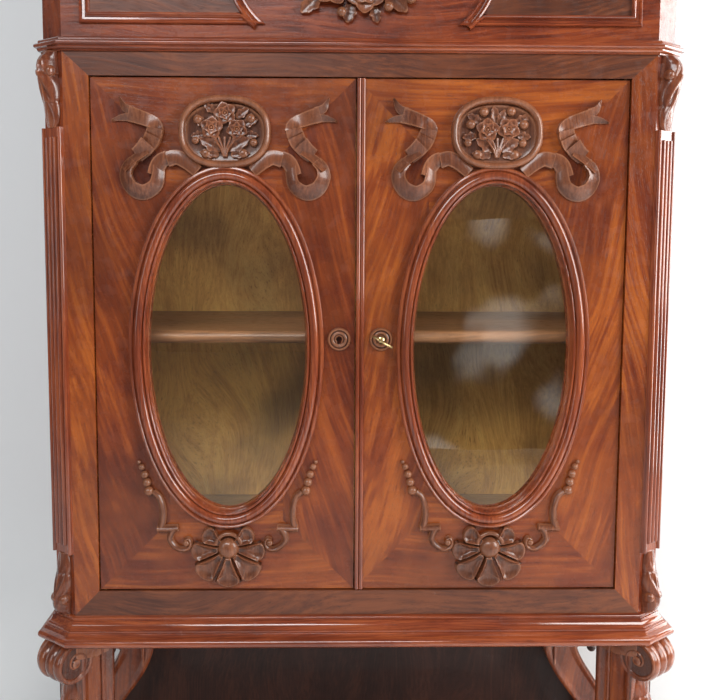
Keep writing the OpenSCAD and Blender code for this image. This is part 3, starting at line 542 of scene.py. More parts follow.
frieze_wood = wood("frieze_mahogany", **RED, turn=(0, 90, 0), sweep=0.9)
back_wood = wood("flecked_back_veneer", (0.46, 0.22, 0.055), (0.66, 0.34, 0.09), (0.78, 0.45, 0.13),
                 sweep=1.8, fineness=0.8, gloss=0.5, coat=0.0, pores=0.85, aged=0.6)
inside_wood = wood("plain_inside_wood", (0.24, 0.13, 0.045), (0.40, 0.23, 0.08), (0.52, 0.32, 0.13),
                   turn=(0, 90, 0), sweep=0.6, gloss=0.5, coat=0.05, aged=0.4)
shelf_wood = wood("shelf_mahogany", (0.12, 0.045, 0.018), (0.23, 0.095, 0.038), (0.33, 0.15, 0.065),
                  turn=(0, 90, 0), sweep=0.6, gloss=0.38, coat=0.2)
metal = brass("worn_brass", (0.72, 0.55, 0.27), (0.30, 0.20, 0.09))
dull_metal = brass("dull_brass", (0.16, 0.10, 0.05), (0.06, 0.035, 0.02))
glass = old_glass()

NODE_FINISH = {
    case_wood: ["left_side_panel", "right_side_panel", "corner_posts"],
    reeded_wood: ["pilasters", "meeting_bead"],
    stile_wood: ["face_stiles"],
    left_flame: ["left_door_stiles"],
    right_flame: ["right_door_stiles"],
    level_veneer: ["left_door_rails", "right_door_rails"],
    dark_band: ["top_rail", "bottom_rail", "frieze_panels"],
    panel_in_painted_shade: ["stand_back_panel", "side_aprons"],
    frieze_wood: ["frieze_board", "top_board", "stand_platform"],
    back_wood: ["back_panels", "back_frame"],
    inside_wood: ["case_bottom_boards", "case_ceiling", "shelf_racks", "left_cleat", "right_cleat"],
    plain_bead: ["left_door_glazing_bead", "right_door_glazing_bead"],
    shelf_wood: ["shelf"],
    dull_metal: ["case_pivot_plates", "left_door_pivots", "right_door_pivots"],
    metal: ["left_door_hardware", "left_top_bolt", "left_bottom_bolt", "right_lock_case", "lock_bolt"],
    glass: ["left_door_glass", "right_door_glass"],
}
for finish, names in NODE_FINISH.items():
    for node_name in names:
        mesh = nodes[node_name].data
        mesh.materials.clear()
        mesh.materials.append(finish)


# ---------- mouldings of the case ----------

# The plan of the case, in (x, depth): its half width and depth, and the size of its canted corners
CASE_HALF, CASE_DEPTH = 469, 412
CANT_W, CANT_D = 34, 25
RIGHT_PLAN = [(CASE_HALF - CANT_W, 0), (CASE_HALF, CANT_D), (CASE_HALF, CASE_DEPTH)]
PLAN = np.array([(-x, y) for x, y in RIGHT_PLAN[::-1]] + RIGHT_PLAN, float)
PLAN_SIDES = unit(np.diff(PLAN, axis=0))
PLAN_NORMALS = np.stack([PLAN_SIDES[:, 1], -PLAN_SIDES[:, 0]], -1)


def run_round_case(profile):
    """A moulding round the front and sides: its (out, z) profile, drawn with its back, stands mitred on the
    plan's corners, and its ends are square to the back."""
    corners = mitred(np.vstack([PLAN_NORMALS[:1], PLAN_NORMALS]),
                     np.vstack([PLAN_NORMALS, PLAN_NORMALS[-1:]]))
    profile = np.asarray(profile, float)
    xy = PLAN[:, None] + corners[:, None] * profile[None, :, :1]
    return np.stack([xy[..., 0], -xy[..., 1], profile[None, :, 1] + 0 * xy[..., 0]], -1), False


WAIST_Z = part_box("waist_moulding")[0][2] / MM
waist = ([(0, 0), (3, 0), (3.4, 1.6)] + arc((3.4, 6.6), 5, -90, 0, 7)[1:] + [(9.2, 7)]
         + arc((9.5, 10.6), 3.3, -70, 70, 9) + [(9.4, 14.4), (7.2, 14.8), (6.8, 16.6)]
         + arc((4, 16.8), 3, 0, 90, 5) + [(0, 20)])
base = ([(0, 0), (20, 0)] + arc((20.4, 7.4), 7.4, -88, 72, 15)
        + [(20.8, 15.4), (19, 16), (18.4, 18.6), (17.4, 20.4), (15.2, 20.8), (15, 23), (13.2, 23.6),
           (12.6, 25.6), (10.4, 27.2), (8.4, 30), (7.2, 33), (6.6, 35.4), (4.6, 35.8)]
        + arc((2.6, 38.8), 2.6, -50, 80, 7) + [(0, 42)])
FRIEZE_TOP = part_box("frieze_board")[1][2] / MM
cornice = ([(0, 0), (6, 0), (6, 7), (8, 8)] + arc((8, 20), 10, -80, -8, 7)
           + arc((36, 22), 18, 176, 118, 8) + [(30, 40), (38, 41), (38, 44)] + arc((38, 50.5), 6, -88, 88, 9)
           + [(34, 57), (34, 58), (0, 58)])
for run, bottom, replaced_node in ((waist, WAIST_Z, "waist_moulding"), (base, UNDERSIDE_Z, "base_moulding"),
                                   (cornice, FRIEZE_TOP, "cornice")):
    piece(replaced_node + "_run", [run_round_case([(o, z + bottom) for o, z in run])], on_case, "case",
          level_moulding, [replaced_node], sharp=30)


# ---------- frieze ----------

def frieze_panel(side):
    """A panel moulding with one hollow end towards the carving in the middle."""
    low, high = (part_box("frieze_panel_mouldings")[k][2] / MM for k in (0, 1))
    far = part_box("frieze_panel_mouldings")[1][0] / MM
    mid, half = (low + high) / 2, (high - low) / 2
    near, hollow = 140, 110
    bow = math.asin(half / hollow)
    end = arc((near - hollow * math.cos(bow), mid), hollow, math.degrees(bow), -math.degrees(bow), 25)
    outline = np.array([(far, low), (far, high)] + end)
    outline[:, 0] *= side
    profile = [(0, -1), (0, 3.5), (1.2, 5), (3.6, 5.2), (5, 3.4), (8, 2.6), (8.8, 4.4), (10.6, 7.6),
               (12.6, 8.8), (14.4, 8), (15.6, 5.6), (16.2, 2.5), (16.2, -1)]
    return framed(outline, profile, outward=-1 if side > 0 else 1)


piece("frieze_panel_frames", [frieze_panel(1), frieze_panel(-1)], on_case, "case", level_moulding,
      ["frieze_panel_mouldings"], sharp=30)


def beyond(x, z, distance, angle):
    """The point at a distance from (x, z), in the direction of an angle."""
    return x + distance * math.cos(angle), z + distance * math.sin(angle)


def rose(x, z, radius, height, turn):
    """An open rose: two rings of cupped petals about a ringed eye."""
    shapes = []
    petals = 5
    for k in range(petals):
        a = turn + 2 * math.pi * k / petals
        shapes.append(petal(beyond(x, z, 0.22 * radius, a), a, 0.85 * radius, 0.98 * radius, height,
                            cup=0.30, thick=radius * 0.10, rise=radius * 0.10))
        b = a + math.pi / petals
        shapes.append(petal(beyond(x, z, 0.1 * radius, b), b, 0.58 * radius, 0.62 * radius,
                            height + radius * 0.16, cup=0.34, thick=radius * 0.08, rise=radius * 0.16))
    eye = [(0.30, -0.1), (0.31, 0.22), (0.27, 0.34), (0.21, 0.33), (0.17, 0.20), (0.15, 0.12)]
    shapes.append(turned([(radius * r, height + radius * h) for r, h in eye], (x, z), 20))
    shapes.append(ball((x, height + radius * 0.2, z), radius * 0.13, 0.9, 10))
    return shapes


def bud(x, z, radius, height, angle):
    """A bud in its cup: a ball between two short sepals."""
    return [ball((x, height, z), radius, 0.9, 12)] + [
        petal(beyond(x, z, -radius, angle), angle + lean, 1.9 * radius, 0.9 * radius, height, 0.3, 1.0)
        for lean in (0.45, -0.45)]


def leaf(x, z, angle, length, width, height):
    """A toothed leaf with a sunk middle vein."""
    return [petal((x, z), angle, length, width, height, cup=0.42, thick=1.3, rise=1.5, frill=0.16)]


BOUQUET_Z = middle("frieze_bouquet", 2)


def bouquet():
    """The carving in the middle of the frieze: seven roses, with buds, leaves and stems round them."""
    shapes = []
    for x, z, r, turn in [(-44, -34, 27, 0.2), (4, -44, 27, 0.9), (-2, 8, 30, 0.5), (52, -6, 24, 0.1),
                          (-56, 20, 24, 1.1), (28, 46, 21, 0.3), (-28, 52, 20, 0.8)]:
        shapes += rose(x, BOUQUET_Z + z, r, 9 - 0.03 * abs(z), turn)
    for x, z, r, a in [(70, -50, 8, -0.6), (86, -30, 9, -0.3), (-88, -26, 8, 3.5), (-98, 4, 7, 3.1),
                       (96, 14, 8, 0.2), (78, 44, 8, 0.7), (-80, 52, 8, 2.4), (4, 78, 7, 1.6),
                       (38, -62, 7, -1.1), (-30, -70, 7, 4.3)]:
        shapes += bud(x, BOUQUET_Z + z, r, 8, a)
    for x, z, a, length, w in [(28, -34, -0.75, 52, 26), (-60, -44, 3.9, 40, 24), (-16, -58, 4.5, 28, 20),
                               (60, 16, 0.35, 58, 26), (-62, 4, 2.9, 58, 26), (18, 60, 0.9, 36, 22),
                               (-40, 62, 2.2, 36, 22), (52, -30, -0.2, 50, 22), (-76, -10, 3.3, 44, 22),
                               (16, -62, -1.3, 24, 16)]:
        shapes += leaf(x, BOUQUET_Z + z, a, length, w, 4)
    for bend in [[(-60, -20), (-96, 22), (-124, 30)], [(60, -20), (96, 20), (124, 34)],
                 [(10, -40), (62, -44), (84, -34)]]:
        line = spline([(x, 5, BOUQUET_Z + z) for x, z in bend], 16)
        shapes.append(rope(line, np.linspace(2.6, 1.6, 16)))
    return shapes


piece("frieze_flowers", bouquet(), on_case, "case", carved_front, ["frieze_bouquet"])


# ---------- carving on the doors ----------

OVAL_PROFILE = ([(28, -1), (28, 4.5), (27.4, 7.2), (25.8, 9), (23.8, 9.4), (22, 8.4), (21, 6.8), (20.4, 6.6)]
                + arc((14, 6.6), 6.4, 8, 172, 15) + [(7.4, 6.8), (6.8, 7.6)] + arc((4.8, 7.4), 2, 20, 170, 6)
                + [(2.6, 5.6), (1.4, 1), (0, -1.5), (0, -8.9), (8, -8.9), (8, -1)])


def medallion(variant):
    """A flower piece in a rounded frame: a half-round rim, a sunk ground, and roses, buds and leaves."""
    rim_path = ellipse(62.5, 48, (0, 693.5), 96, power=2.4)
    rim = [(-5.2, -1), (-5.4, 6), (-4.6, 10), (-2.6, 13), (0, 14), (2.6, 13), (4.4, 10.4), (5.2, 6),
           (5.2, -1)]
    shapes = [framed(rim_path, rim)]
    ground = ellipse(58, 42, (0, 692), 64, power=2.45)
    shapes.append(dome(ground, (0, 692), [(0.15, 3.2), (0.4, 3.0), (0.7, 2.6), (0.9, 3.4), (1.0, 5.0)]))
    if variant > 0:
        roses = [(-15, 698, 16.5, 0.3), (16, 699, 16.5, 0.9)]
        buds = [(-39, 706, 7, 2.7), (39, 706, 7, 0.4), (-20, 724, 7, 2.0), (20, 725, 7, 1.1),
                (-43, 679, 5.6, 3.4), (38, 679, 6, -0.2)]
        leaves = [(-2, 668, 2.6, 34, 19), (3, 668, 0.5, 34, 19), (-1, 706, 1.75, 28, 13),
                  (2, 706, 1.2, 24, 12), (-24, 708, 2.6, 24, 13), (26, 708, 0.5, 24, 13),
                  (-30, 690, 3.3, 22, 12), (30, 690, -0.1, 20, 12)]
    else:
        roses = [(1, 720, 16, 0.6), (-19, 699, 16, 0.2), (18, 697, 15, 0.9)]
        buds = [(-39, 711, 7, 2.8), (38, 713, 7, 0.4), (-43, 681, 5.6, 3.6), (42, 678, 6, -0.3)]
        leaves = [(-3, 668, 2.7, 38, 20), (3, 668, 0.45, 38, 20), (24, 704, 0.3, 26, 14),
                  (-26, 704, 2.7, 22, 13), (16, 714, 0.6, 24, 13), (-14, 722, 2.5, 20, 12),
                  (-30, 690, 3.3, 20, 11), (30, 690, -0.1, 20, 11)]
    leaves += [(-8, 660, 3.0, 30, 12), (8, 660, 0.1, 30, 12)]
    for x, z, r, turn in roses:
        shapes += rose(x, z, r, 7.5, turn)
    for x, z, r, a in buds:
        shapes += bud(x, z, r, 5.5, a)
    for x, z, a, length, width in leaves:
        shapes += leaf(x, z, a, length, width, 4.5)
    for k in (-2, -1, 0, 1, 2):
        shapes.append(rope(spline([(0.9 * k, 7, 658), (3 * k, 8.5, 670), (9 * k, 7, 686)], 10), 1.7, 8))
    for x in (-28, 26):
        shapes.append(turned([(0.4, 8.6), (4, 8.2), (6.5, 6.4), (7.6, 3), (7.8, -1)], (x, 662), 20))
    return shapes


def strip(points, widths, left, right, bulge=0.0, count=34):
    """A folded length of ribbon along (x, z) points: its width and the heights of its left and right edges
    run between three values each, and bulge crowns it."""
    t = np.linspace(0, 1, count)
    wide, high_left, high_right = (np.interp(t, (0, 0.5, 1), v)[:, None] for v in (widths, left, right))
    s = np.linspace(-1, 1, 9)[None]
    tops = (high_left + high_right) / 2 + (high_left - high_right) / 2 * s + bulge * (1 - s ** 2)
    return band(spline(points, count), wide[:, 0], tops)


def ribbon():
    """A carved ribbon, in folded lengths from the medallion out to its two-pointed tail."""
    return [
        strip([(40, 636), (56, 649), (70, 656), (84, 653)], (18, 21, 22), (5, 8, 11), (8, 9, 8), 2),
        strip([(82, 656), (92, 651), (99, 641), (103, 630)], (20, 22, 19), (11, 13, 14), (6, 6, 5), 2),
        strip([(97, 646), (97, 632), (102, 615), (119, 605), (136, 611), (145, 627), (143, 641), (134, 652)],
              (14, 23, 16), (13, 15, 14), (5, 1.5, 3), 1.5, 80),
        strip([(147, 638), (134, 652), (114, 666)], (9, 13, 12), (15, 14, 11), (5, 5, 4)),
        strip([(129, 659), (119, 667), (111, 676)], (22, 24, 25), (3, 5, 8), (8, 11, 14)),
        strip([(115, 671), (108, 679), (104, 687)], (24, 25, 25), (5, 9, 13), (4, 7, 9)),
        strip([(107, 682), (103, 690), (101, 698)], (24, 25, 23), (6, 10, 14), (4, 7, 9)),
        strip([(94, 692), (100, 704), (118, 712), (140, 719)], (12, 19, 22), (14, 8, 13), (4, 11, 4), 0.5,
              44),
        strip([(134, 722), (145, 728), (153, 743)], (14, 11, 1.5), (13, 12, 10), (7, 6, 6)),
        strip([(134, 714), (150, 713), (165, 709)], (12, 9, 1.5), (10, 8, 7), (4, 3, 4)),
    ]


SHELL_Z = 66
PETALS = [(-90, 62, 21), (-46, 63, 20), (-134, 63, 20), (-6, 57, 18), (-174, 57, 18), (35, 46, 22),
          (145, 46, 22)]


def shell():
    """A flower-like scallop: seven hollow petals with rolled rims about a boss in its collar. A petal's
    outline is an arc of its reach with straight sides, and its hollow is a sine along its length."""
    shapes = []
    for turn, reach, spread in PETALS:
        turn, half = math.radians(turn), math.radians(spread)
        side = [(r, -half * (0.78 + 0.22 * (r - 14) / (reach - 20))) for r in np.linspace(14, reach - 6, 9)]
        tip = [(reach - 2 + 2 * math.cos(2 * a) - 3.2 * abs(a) ** 3, half * math.sin(a) / math.sin(1.25))
               for a in np.linspace(-1.25, 1.25, 11)]
        polar = np.array(side + tip + [(r, -a) for r, a in side[::-1]])
        outline = np.stack([polar[:, 0] * np.cos(turn + polar[:, 1]),
                            SHELL_Z + polar[:, 0] * np.sin(turn + polar[:, 1])], -1)
        centre = (0.64 * reach * math.cos(turn), SHELL_Z + 0.64 * reach * math.sin(turn))

        def lift(x, z, reach=reach):
            way = np.clip((np.hypot(x, z - SHELL_Z) - 12) / (reach - 12), 0, 1)
            return 4.6 * np.sin(math.pi * way ** 0.8) - 1.2 * way

        shapes.append(dome(outline, centre, [(0.1, 2.6), (0.35, 2.9), (0.58, 4.2), (0.74, 6.2), (0.84, 7.8),
                                             (0.91, 8.3), (0.96, 7.6), (1.0, 5.0)], lift))
    shapes.append(turned([(0.4, 17.5), (6, 16.9), (11, 15), (14, 12), (15.6, 8.5), (16, 4), (16, -1)],
                         (1, SHELL_Z + 1), 32))
    collar = np.radians(np.linspace(10, 170, 30))
    x, z = 1 + 19.5 * np.cos(collar), SHELL_Z + 4 + 19.5 * np.sin(collar)
    shapes.append(rope(np.stack([x, np.full(30, 7.5), z], -1), 3.4, 12))
    return shapes


def scroll_line(points, count, start, end, crest):
    """A tapering, crested scroll along (x, z) points."""
    line = spline(points, count)
    s = np.linspace(-1, 1, 9)
    width = np.linspace(start, end, count)
    tops = (crest * (1 - 0.4 * np.abs(s) ** 1.6))[None] * (0.7 + 0.3 * width[:, None] / max(start, end))
    return band(line, width, tops)


def side_scroll():
    """From the shell: a curl with its ball, an S-curve, a square step, a C-curve to a ball, and beads."""
    return [
        scroll_line([(66, 79), (60, 81), (57, 74), (61, 66), (71, 64), (82, 70), (88, 80), (86, 90),
                     (80, 99)], 60, 5, 11.5, 10.5),
        ball((63.5, 6, 74.5), 5, 0.9),
        scroll_line([(75, 98), (90, 97), (107, 97)], 14, 10, 11, 11),
        scroll_line([(103, 96), (99, 112), (99, 130), (104, 146), (113, 154)], 40, 11, 9, 10),
        ball((119, 5.5, 156), 7.2, 0.95), ball((122, 4.5, 169), 6.6, 1.0), ball((125.5, 4, 181), 6.0, 1.0),
        ball((130, 3.5, 192.5), 5.0, 1.0), ball((134, 3, 200), 3.2, 1.0),
    ]


def mirrored(shapes):
    """The same shapes on the other side of x = 0."""
    return [(rings * np.array([-1, 1, 1]), loop) for rings, loop in shapes]


def escutcheon():
    """A turned rosette with a keyhole: rings of the profile about the hole, its lowest points drawn down
    into the slot."""
    profile = [(4.4, -4), (4.4, 2.4), (5.2, 3.2), (7.4, 3.2), (8.4, 4.4), (9.8, 4.9), (11.4, 4.4),
               (12.4, 3.4), (13.4, 3.4), (14.2, 4.8), (15.6, 5), (17, 3.6), (17.5, 1.6), (17.5, -1), (8, -4)]
    rings, loop = turned(profile, (0, 0), 72, loop=True)
    x, out, z = rings[..., 0], rings[..., 1], rings[..., 2]
    slot = (np.hypot(x, z) < 5.3) & (z < -2.8)
    z[slot] -= 6.4
    x[slot] = np.clip(x[slot], -2, 2)
    return rings, loop


KEY_X = middle("right_door_escutcheon", 0)
KEY_Z = middle("right_door_escutcheon", 2)


for side, label in ((-1, "left"), (1, "right")):
    door = label + "_door"
    on_door = facing(side * OVAL_X, DOOR_Y, DOOR_Z)
    oval = ellipse(LIGHT_RX, LIGHT_RZ, (0, OVAL_Z), 192)[::-1]
    piece(label + "_oval_frame", [framed(oval, OVAL_PROFILE, outward=-1)], on_door, door,
          oval_moulding_wood, [door + "_oval_moulding"], sharp=30)
    for work, shapes, node, sharp in (
            ("medallion", medallion(side), "_medallion", 38),
            ("ribbon", ribbon() + mirrored(ribbon()), "_ribbons", 24),
            ("shell", shell() + side_scroll() + mirrored(side_scroll()), "_shell", 50)):
        piece(f"{label}_{work}_carving", shapes, on_door, door, carved, [door + node],
              sharp=sharp)
    piece(label + "_keyhole_rosette", [escutcheon()], facing(side * KEY_X, DOOR_Y, KEY_Z), door, carved,
          [door + "_escutcheon"])


def key_shapes():
    """The key: a stem with collars through the keyhole, a bit inside the lock, and an oval bow with a
    heart-shaped waist, drawn upright in (x, out, z) with the bow edge on."""
    stem = [(2.4, -22.5), (2.8, -22), (2.8, 2), (4.3, 2.4), (4.5, 4.4), (3.2, 5), (3.0, 10), (4.0, 10.6),
            (4.0, 12.4), (2.6, 13.2), (2.2, 18.5)]
    t = np.linspace(0, 2 * math.pi, 48, endpoint=False)
    bow = np.stack([14.2 * np.sin(t) * (1 - 0.12 * np.cos(2 * t)),
                    26 - 8.6 * np.cos(t) * (1 + 0.1 * np.cos(2 * t)), 0 * t], -1)
    outward = unit(bow - np.array([0, 26, 0]))
    b = np.linspace(0, 2 * math.pi, 12, endpoint=False)[None, :, None]
    ring = bow[:, None] + 2.3 * np.cos(b) * outward[:, None] + 1.9 * np.sin(b) * np.array([0, 0, 1])
    bit = np.array([(0, -15.5), (8.6, -15.5), (8.6, -17.6), (7, -17.8), (7, -19.2), (8.6, -19.4),
                    (8.6, -21.5), (0, -21.5)])
    centre = bit.mean(0)
    plates = [np.column_stack([centre + (bit - centre) * grow, np.full(len(bit), level)])
              for level, grow in ((-1.3, 0.94), (-1.4, 1), (1.4, 1), (1.3, 0.94))]
    return [turned(stem, (0, 0), 24), (ring, True), (np.array(plates), False)]


KEY_TILT = math.radians(31)


def key_place(p):
    """Turns the key from level by its tilt about its stem, on to the right-hand keyhole."""
    x = p[..., 0] * math.cos(KEY_TILT) + p[..., 2] * math.sin(KEY_TILT)
    z = -p[..., 0] * math.sin(KEY_TILT) + p[..., 2] * math.cos(KEY_TILT)
    return np.stack([KEY_X + x, FACE_Y - p[..., 1], KEY_Z + z], -1)


piece("door_key", key_shapes(), key_place, "key", metal, ["key"], sharp=35)


# ---------- canted corners ----------

CANT_OUT = np.array([CANT_D, -CANT_W]) / math.hypot(CANT_W, CANT_D)
CANT_ALONG = np.array([CANT_W, CANT_D]) / math.hypot(CANT_W, CANT_D)


def on_cant(side, start=(CASE_HALF - CANT_W / 2, CANT_D / 2)):
    """Puts (across, out, z) shapes on a canted corner, around a starting point of the plan."""
    def place(p):
        x = start[0] + p[..., 0] * CANT_ALONG[0] + p[..., 1] * CANT_OUT[0]
        y = start[1] + p[..., 0] * CANT_ALONG[1] + p[..., 1] * CANT_OUT[1]
        return np.stack([side * x, FACE_Y + y, p[..., 2]], -1)
    return place


def acanthus(low, high, reach, width, lobes=3.0, curl=True):
    """A hanging acanthus leaf, thickest in its upper third: half-round sections whose edge is scalloped in
    lobes down its length, with a raised midrib and slanting veins; curl adds a volute eye on each side."""
    u = np.linspace(0, 1, 72)[:, None]
    a = np.linspace(0, math.pi, 33)[None]
    z = low + (high - low) * u
    swell = np.interp(u, (0, 0.1, 0.25, 0.4, 0.52, 0.63, 0.72, 0.80, 0.87, 0.93, 0.97, 1),
                      (0.08, 0.14, 0.28, 0.48, 0.70, 0.89, 0.98, 1.0, 0.92, 0.72, 0.50, 0.38))
    ledge = 0.7 * (1 - np.mod(lobes * u * 0.999, 1)) ** 2 * (u < 0.66)
    out = 5 + (reach - 5) * swell + ledge
    tooth = 0.86 + 0.14 * np.abs(np.sin(math.pi * lobes * u)) ** 0.7
    half = width / 2 * (0.66 + 0.34 * np.sin(math.pi * np.clip(u, 0, 0.9) ** 0.7))
    half = half * np.where(u < 0.7, tooth, 0.98)
    vein = 0.055 * np.sin(9 * np.abs(np.cos(a)) + 2 * math.pi * lobes * u) * np.sin(math.pi * u)
    rib = 0.07 * np.exp(-((np.cos(a)) / 0.13) ** 2) * (u < 0.72)
    x = half * np.cos(a)
    h = out * np.sin(a) ** 0.7 * (1 + vein + rib - 0.05)
    leaf_rings = np.stack([x, np.maximum(h, 0.2), z + 0 * a], -1)
    back = leaf_rings[:, [-1, 0]].copy()
    back[..., 1] = -0.5
    shapes = [(np.concatenate([leaf_rings, back], 1), False)]
    if curl:
        eye = np.array([(0.5, 0.525), (3.2, 0.52), (5.4, 0.50), (6.6, 0.475), (7.6, 0.43), (8.2, 0.36)])
        across = np.vstack([eye * [1, -1], eye[::-1]]) * [1, width]
        shapes.append(turned(across, (0.46 * reach, low + 0.73 * (high - low)), 28, axis=0))
    return shapes


PILASTER_LOW, PILASTER_HIGH = (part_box("pilasters")[k][2] / MM for k in (0, 1))
corbels = acanthus(PILASTER_HIGH, WAIST_Z, 27, 33)
lower = acanthus(0, PILASTER_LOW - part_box("base_moulding")[1][2] / MM, 23, 31)
corbels += [(rings * np.array([1, 1, -1]) + np.array([0, 0, PILASTER_LOW]), loop) for rings, loop in lower]
both = [(on_cant(side)(rings), loop) for side in (-1, 1) for rings, loop in corbels]
piece("corner_leaf_corbels", both, lambda p: p, "case", carved_round, ["corner_corbels"])


# ---------- legs ----------

LEG_TOP = 490
# Half the width of a leg, and the radius of the roll at its top and of the scroll at its foot
LEG_HALF = 28
ROLL_R, FOOT_R = 33, 38
# Middle line of a leg as three Bezier curves, in (out, z) above the platform, and its depth at their ends
LEG_CURVE = [[(-74, LEG_TOP), (-74, 430), (-74, 380), (-74, 330)],
             [(-74, 330), (-74, 250), (0, 215), (10, 140)],
             [(10, 140), (17, 75), (-18, 38), (-48, 34)]]
LEG_WIDTH = [68, 66, 52, 44]


def bezier(p, t):
    """Points of a cubic Bezier curve."""
    p = np.asarray(p, float)
    t = t[:, None]
    return (1 - t) ** 3 * p[0] + 3 * t * (1 - t) ** 2 * p[1] + 3 * t * t * (1 - t) * p[2] + t ** 3 * p[3]


def leg_stem():
    """The leg's body: a section with a reeded outer face and moulded side edges, carried along the leg's
    curve, square to it."""
    t = np.linspace(0, 1, 22)
    line = np.vstack([bezier(LEG_CURVE[0], t)[:-1], bezier(LEG_CURVE[1], t)[:-1], bezier(LEG_CURVE[2], t)])
    normal = across_path(line)
    width = np.interp(np.linspace(0, 3, len(line)), range(4), LEG_WIDTH)
    b = np.linspace(-LEG_HALF, LEG_HALF, 25)
    reeds = -2.6 + 2.6 * np.abs(np.sin(3 * math.pi * (b + LEG_HALF) / (2 * LEG_HALF))) ** 0.8
    s = np.linspace(0.97, -0.97, 21)
    margin = 1 - 1 / (1 + np.exp((np.abs(s) - 0.66) * 40))
    face = LEG_HALF - 2.6 * (1 - margin) - 1.2 * (np.abs(s) > 0.95)
    inner = np.linspace(LEG_HALF - 2, -LEG_HALF + 2, 9)
    # section points: share of the half width, extra along the normal, and place across the leg
    section = np.vstack([np.stack([np.full(25, 1.0), reeds, b], -1),
                         np.stack([s, 0 * s, face], -1),
                         np.stack([np.full(9, -1.0), np.zeros(9), inner], -1),
                         np.stack([s[::-1], 0 * s, -face[::-1]], -1)])
    offset = width[:, None] / 2 * section[None, :, 0] + section[None, :, 1]
    oz = line[:, None] + normal[:, None] * offset[..., None]
    across = np.broadcast_to(section[None, :, 2], offset.shape)
    return np.stack([across, oz[..., 0], oz[..., 1]], -1), False


def reeded_roll(centre, radius, half):
    """A reeded roll lying across the leg, with a rim and an eye raised on each end."""
    b = np.linspace(-half, half, 43)
    r = radius - 3 + 3 * np.abs(np.sin(3 * math.pi * (b + half) / (2 * half))) ** 0.8
    end = [(0.3, half + 1.6), (3, half + 1.5), (radius * 0.2, half + 0.6), (radius * 0.24, half - 1.1),
           (radius * 0.76, half - 1.1), (radius * 0.80, half - 0.2), (radius * 0.9, half)]
    return turned([(q, -w) for q, w in end] + list(zip(r, b)) + end[::-1], centre, 56, axis=0)


def winding(centre, radius, angle):
    """Points about a centre at given radii and angles."""
    return np.stack([centre[0] + radius * np.cos(angle), centre[1] + radius * np.sin(angle)], -1)


def spiral_rib(centre, outer, face, turn, start):
    """A raised rib that winds from the rim of a roll's end in to its eye: a logarithmic spiral."""
    a = np.linspace(0, turn, 60)
    return side_rib(winding(centre, outer * np.exp(-0.20 * a), start + a), face)


def volute_rib(centre, face):
    """A rib that climbs the stem, turns over the top of the roll and winds in to its eye: its distance from
    the centre falls steadily with the angle."""
    a = np.radians(np.linspace(180, -430, 72))
    r = np.interp(np.linspace(0, 1, 72), (0, 0.15, 0.3, 0.6, 1), (50, 31.5, 28.5, 18, 7))
    climb = np.array([(centre[0] - 50, z) for z in np.linspace(centre[1] - 190, centre[1] - 8, 16)])
    return side_rib(np.vstack([climb, winding(centre, r, a)]), face)


def side_rib(path, face):
    """A round rib along (out, z) points on a leg's side, thinner towards its end."""
    points = np.column_stack([np.full(len(path), face), path])
    along = unit(np.gradient(points, axis=0))
    side = unit(np.cross(along, [1.0, 0, 0]))
    b = np.linspace(0, 2 * math.pi, 10, endpoint=False)[None, :, None]
    radius = np.linspace(2.9, 1.6, len(path))[:, None, None]
    return points[:, None] + radius * (np.cos(b) * side[:, None] + np.sin(b) * np.array([1.0, 0, 0])), False


def cut_block(outline):
    """A block across the leg: an (out, z) outline cut into short steps, swept straight across, drawn in at
    both ends."""
    corners = np.vstack([outline, outline[:1]]).astype(float)
    along = np.linspace(0, len(corners) - 1, 8 * (len(corners) - 1), endpoint=False)
    outline = np.stack([np.interp(along, np.arange(len(corners)), corners[:, k]) for k in (0, 1)], -1)
    centre = outline.mean(0)
    reach = np.linalg.norm(outline - centre, axis=1, keepdims=True)
    bevel = 1.6
    inner = LEG_HALF - bevel
    layers = []
    for w in [-LEG_HALF, *np.linspace(-inner, inner, 8), LEG_HALF]:
        ease = bevel if abs(w) == LEG_HALF else 0
        points = centre + (outline - centre) * (1 - ease / reach)
        layers.append(np.column_stack([np.full(len(points), w), points]))
    return np.array(layers), False


def leg():
    """A scrolled leg in (across, out, z): a roll under the case, an S-curved stem, a scrolled foot, and a
    leaf hanging down the stem's front."""
    top = (-ROLL_R, LEG_TOP - ROLL_R)
    foot = (-50, 50)
    shapes = [leg_stem(), reeded_roll(top, ROLL_R, LEG_HALF), reeded_roll(foot, FOOT_R, LEG_HALF)]
    for end in (-1, 1):
        shapes.append(volute_rib(top, end * (LEG_HALF - 1.2)))
        shapes.append(spiral_rib(foot, FOOT_R - 6, end * (LEG_HALF - 1.4), 7.2, -1.6))
    shapes.append(cut_block([(-105, LEG_TOP), (-ROLL_R, LEG_TOP), (-ROLL_R, 462), (-70, 452), (-96, 452),
                             (-103, 468)]))
    shapes.append(cut_block([(-84, 0), (8, 0), (8, 12), (2, 16), (-18, 28), (-76, 28), (-84, 14)]))
    for rings, loop in acanthus(0, 132, 40, 44, lobes=4.0, curl=False):
        shapes.append((rings * np.array([1, 1, -1]) + np.array([0, -46, 424]), loop))
    return [(rings + np.array([0, 0, PLATFORM_Z]), loop) for rings, loop in shapes]


def corner_of_plan(k, out):
    """Corner k of the plan moved out square to both its sides."""
    return PLAN[k] + out * mitred(PLAN_NORMALS[k - 1], PLAN_NORMALS[k])


# How far the leg tops stand out of the plan, and a front leg's roll beyond that; a rear leg's place
BASE_OUT, LEG_PROUD = 28, 8
front_start = (corner_of_plan(3, BASE_OUT) + corner_of_plan(4, BASE_OUT)) / 2 + LEG_PROUD * CANT_OUT
REAR_X, REAR_Y = 491, CASE_DEPTH - 38


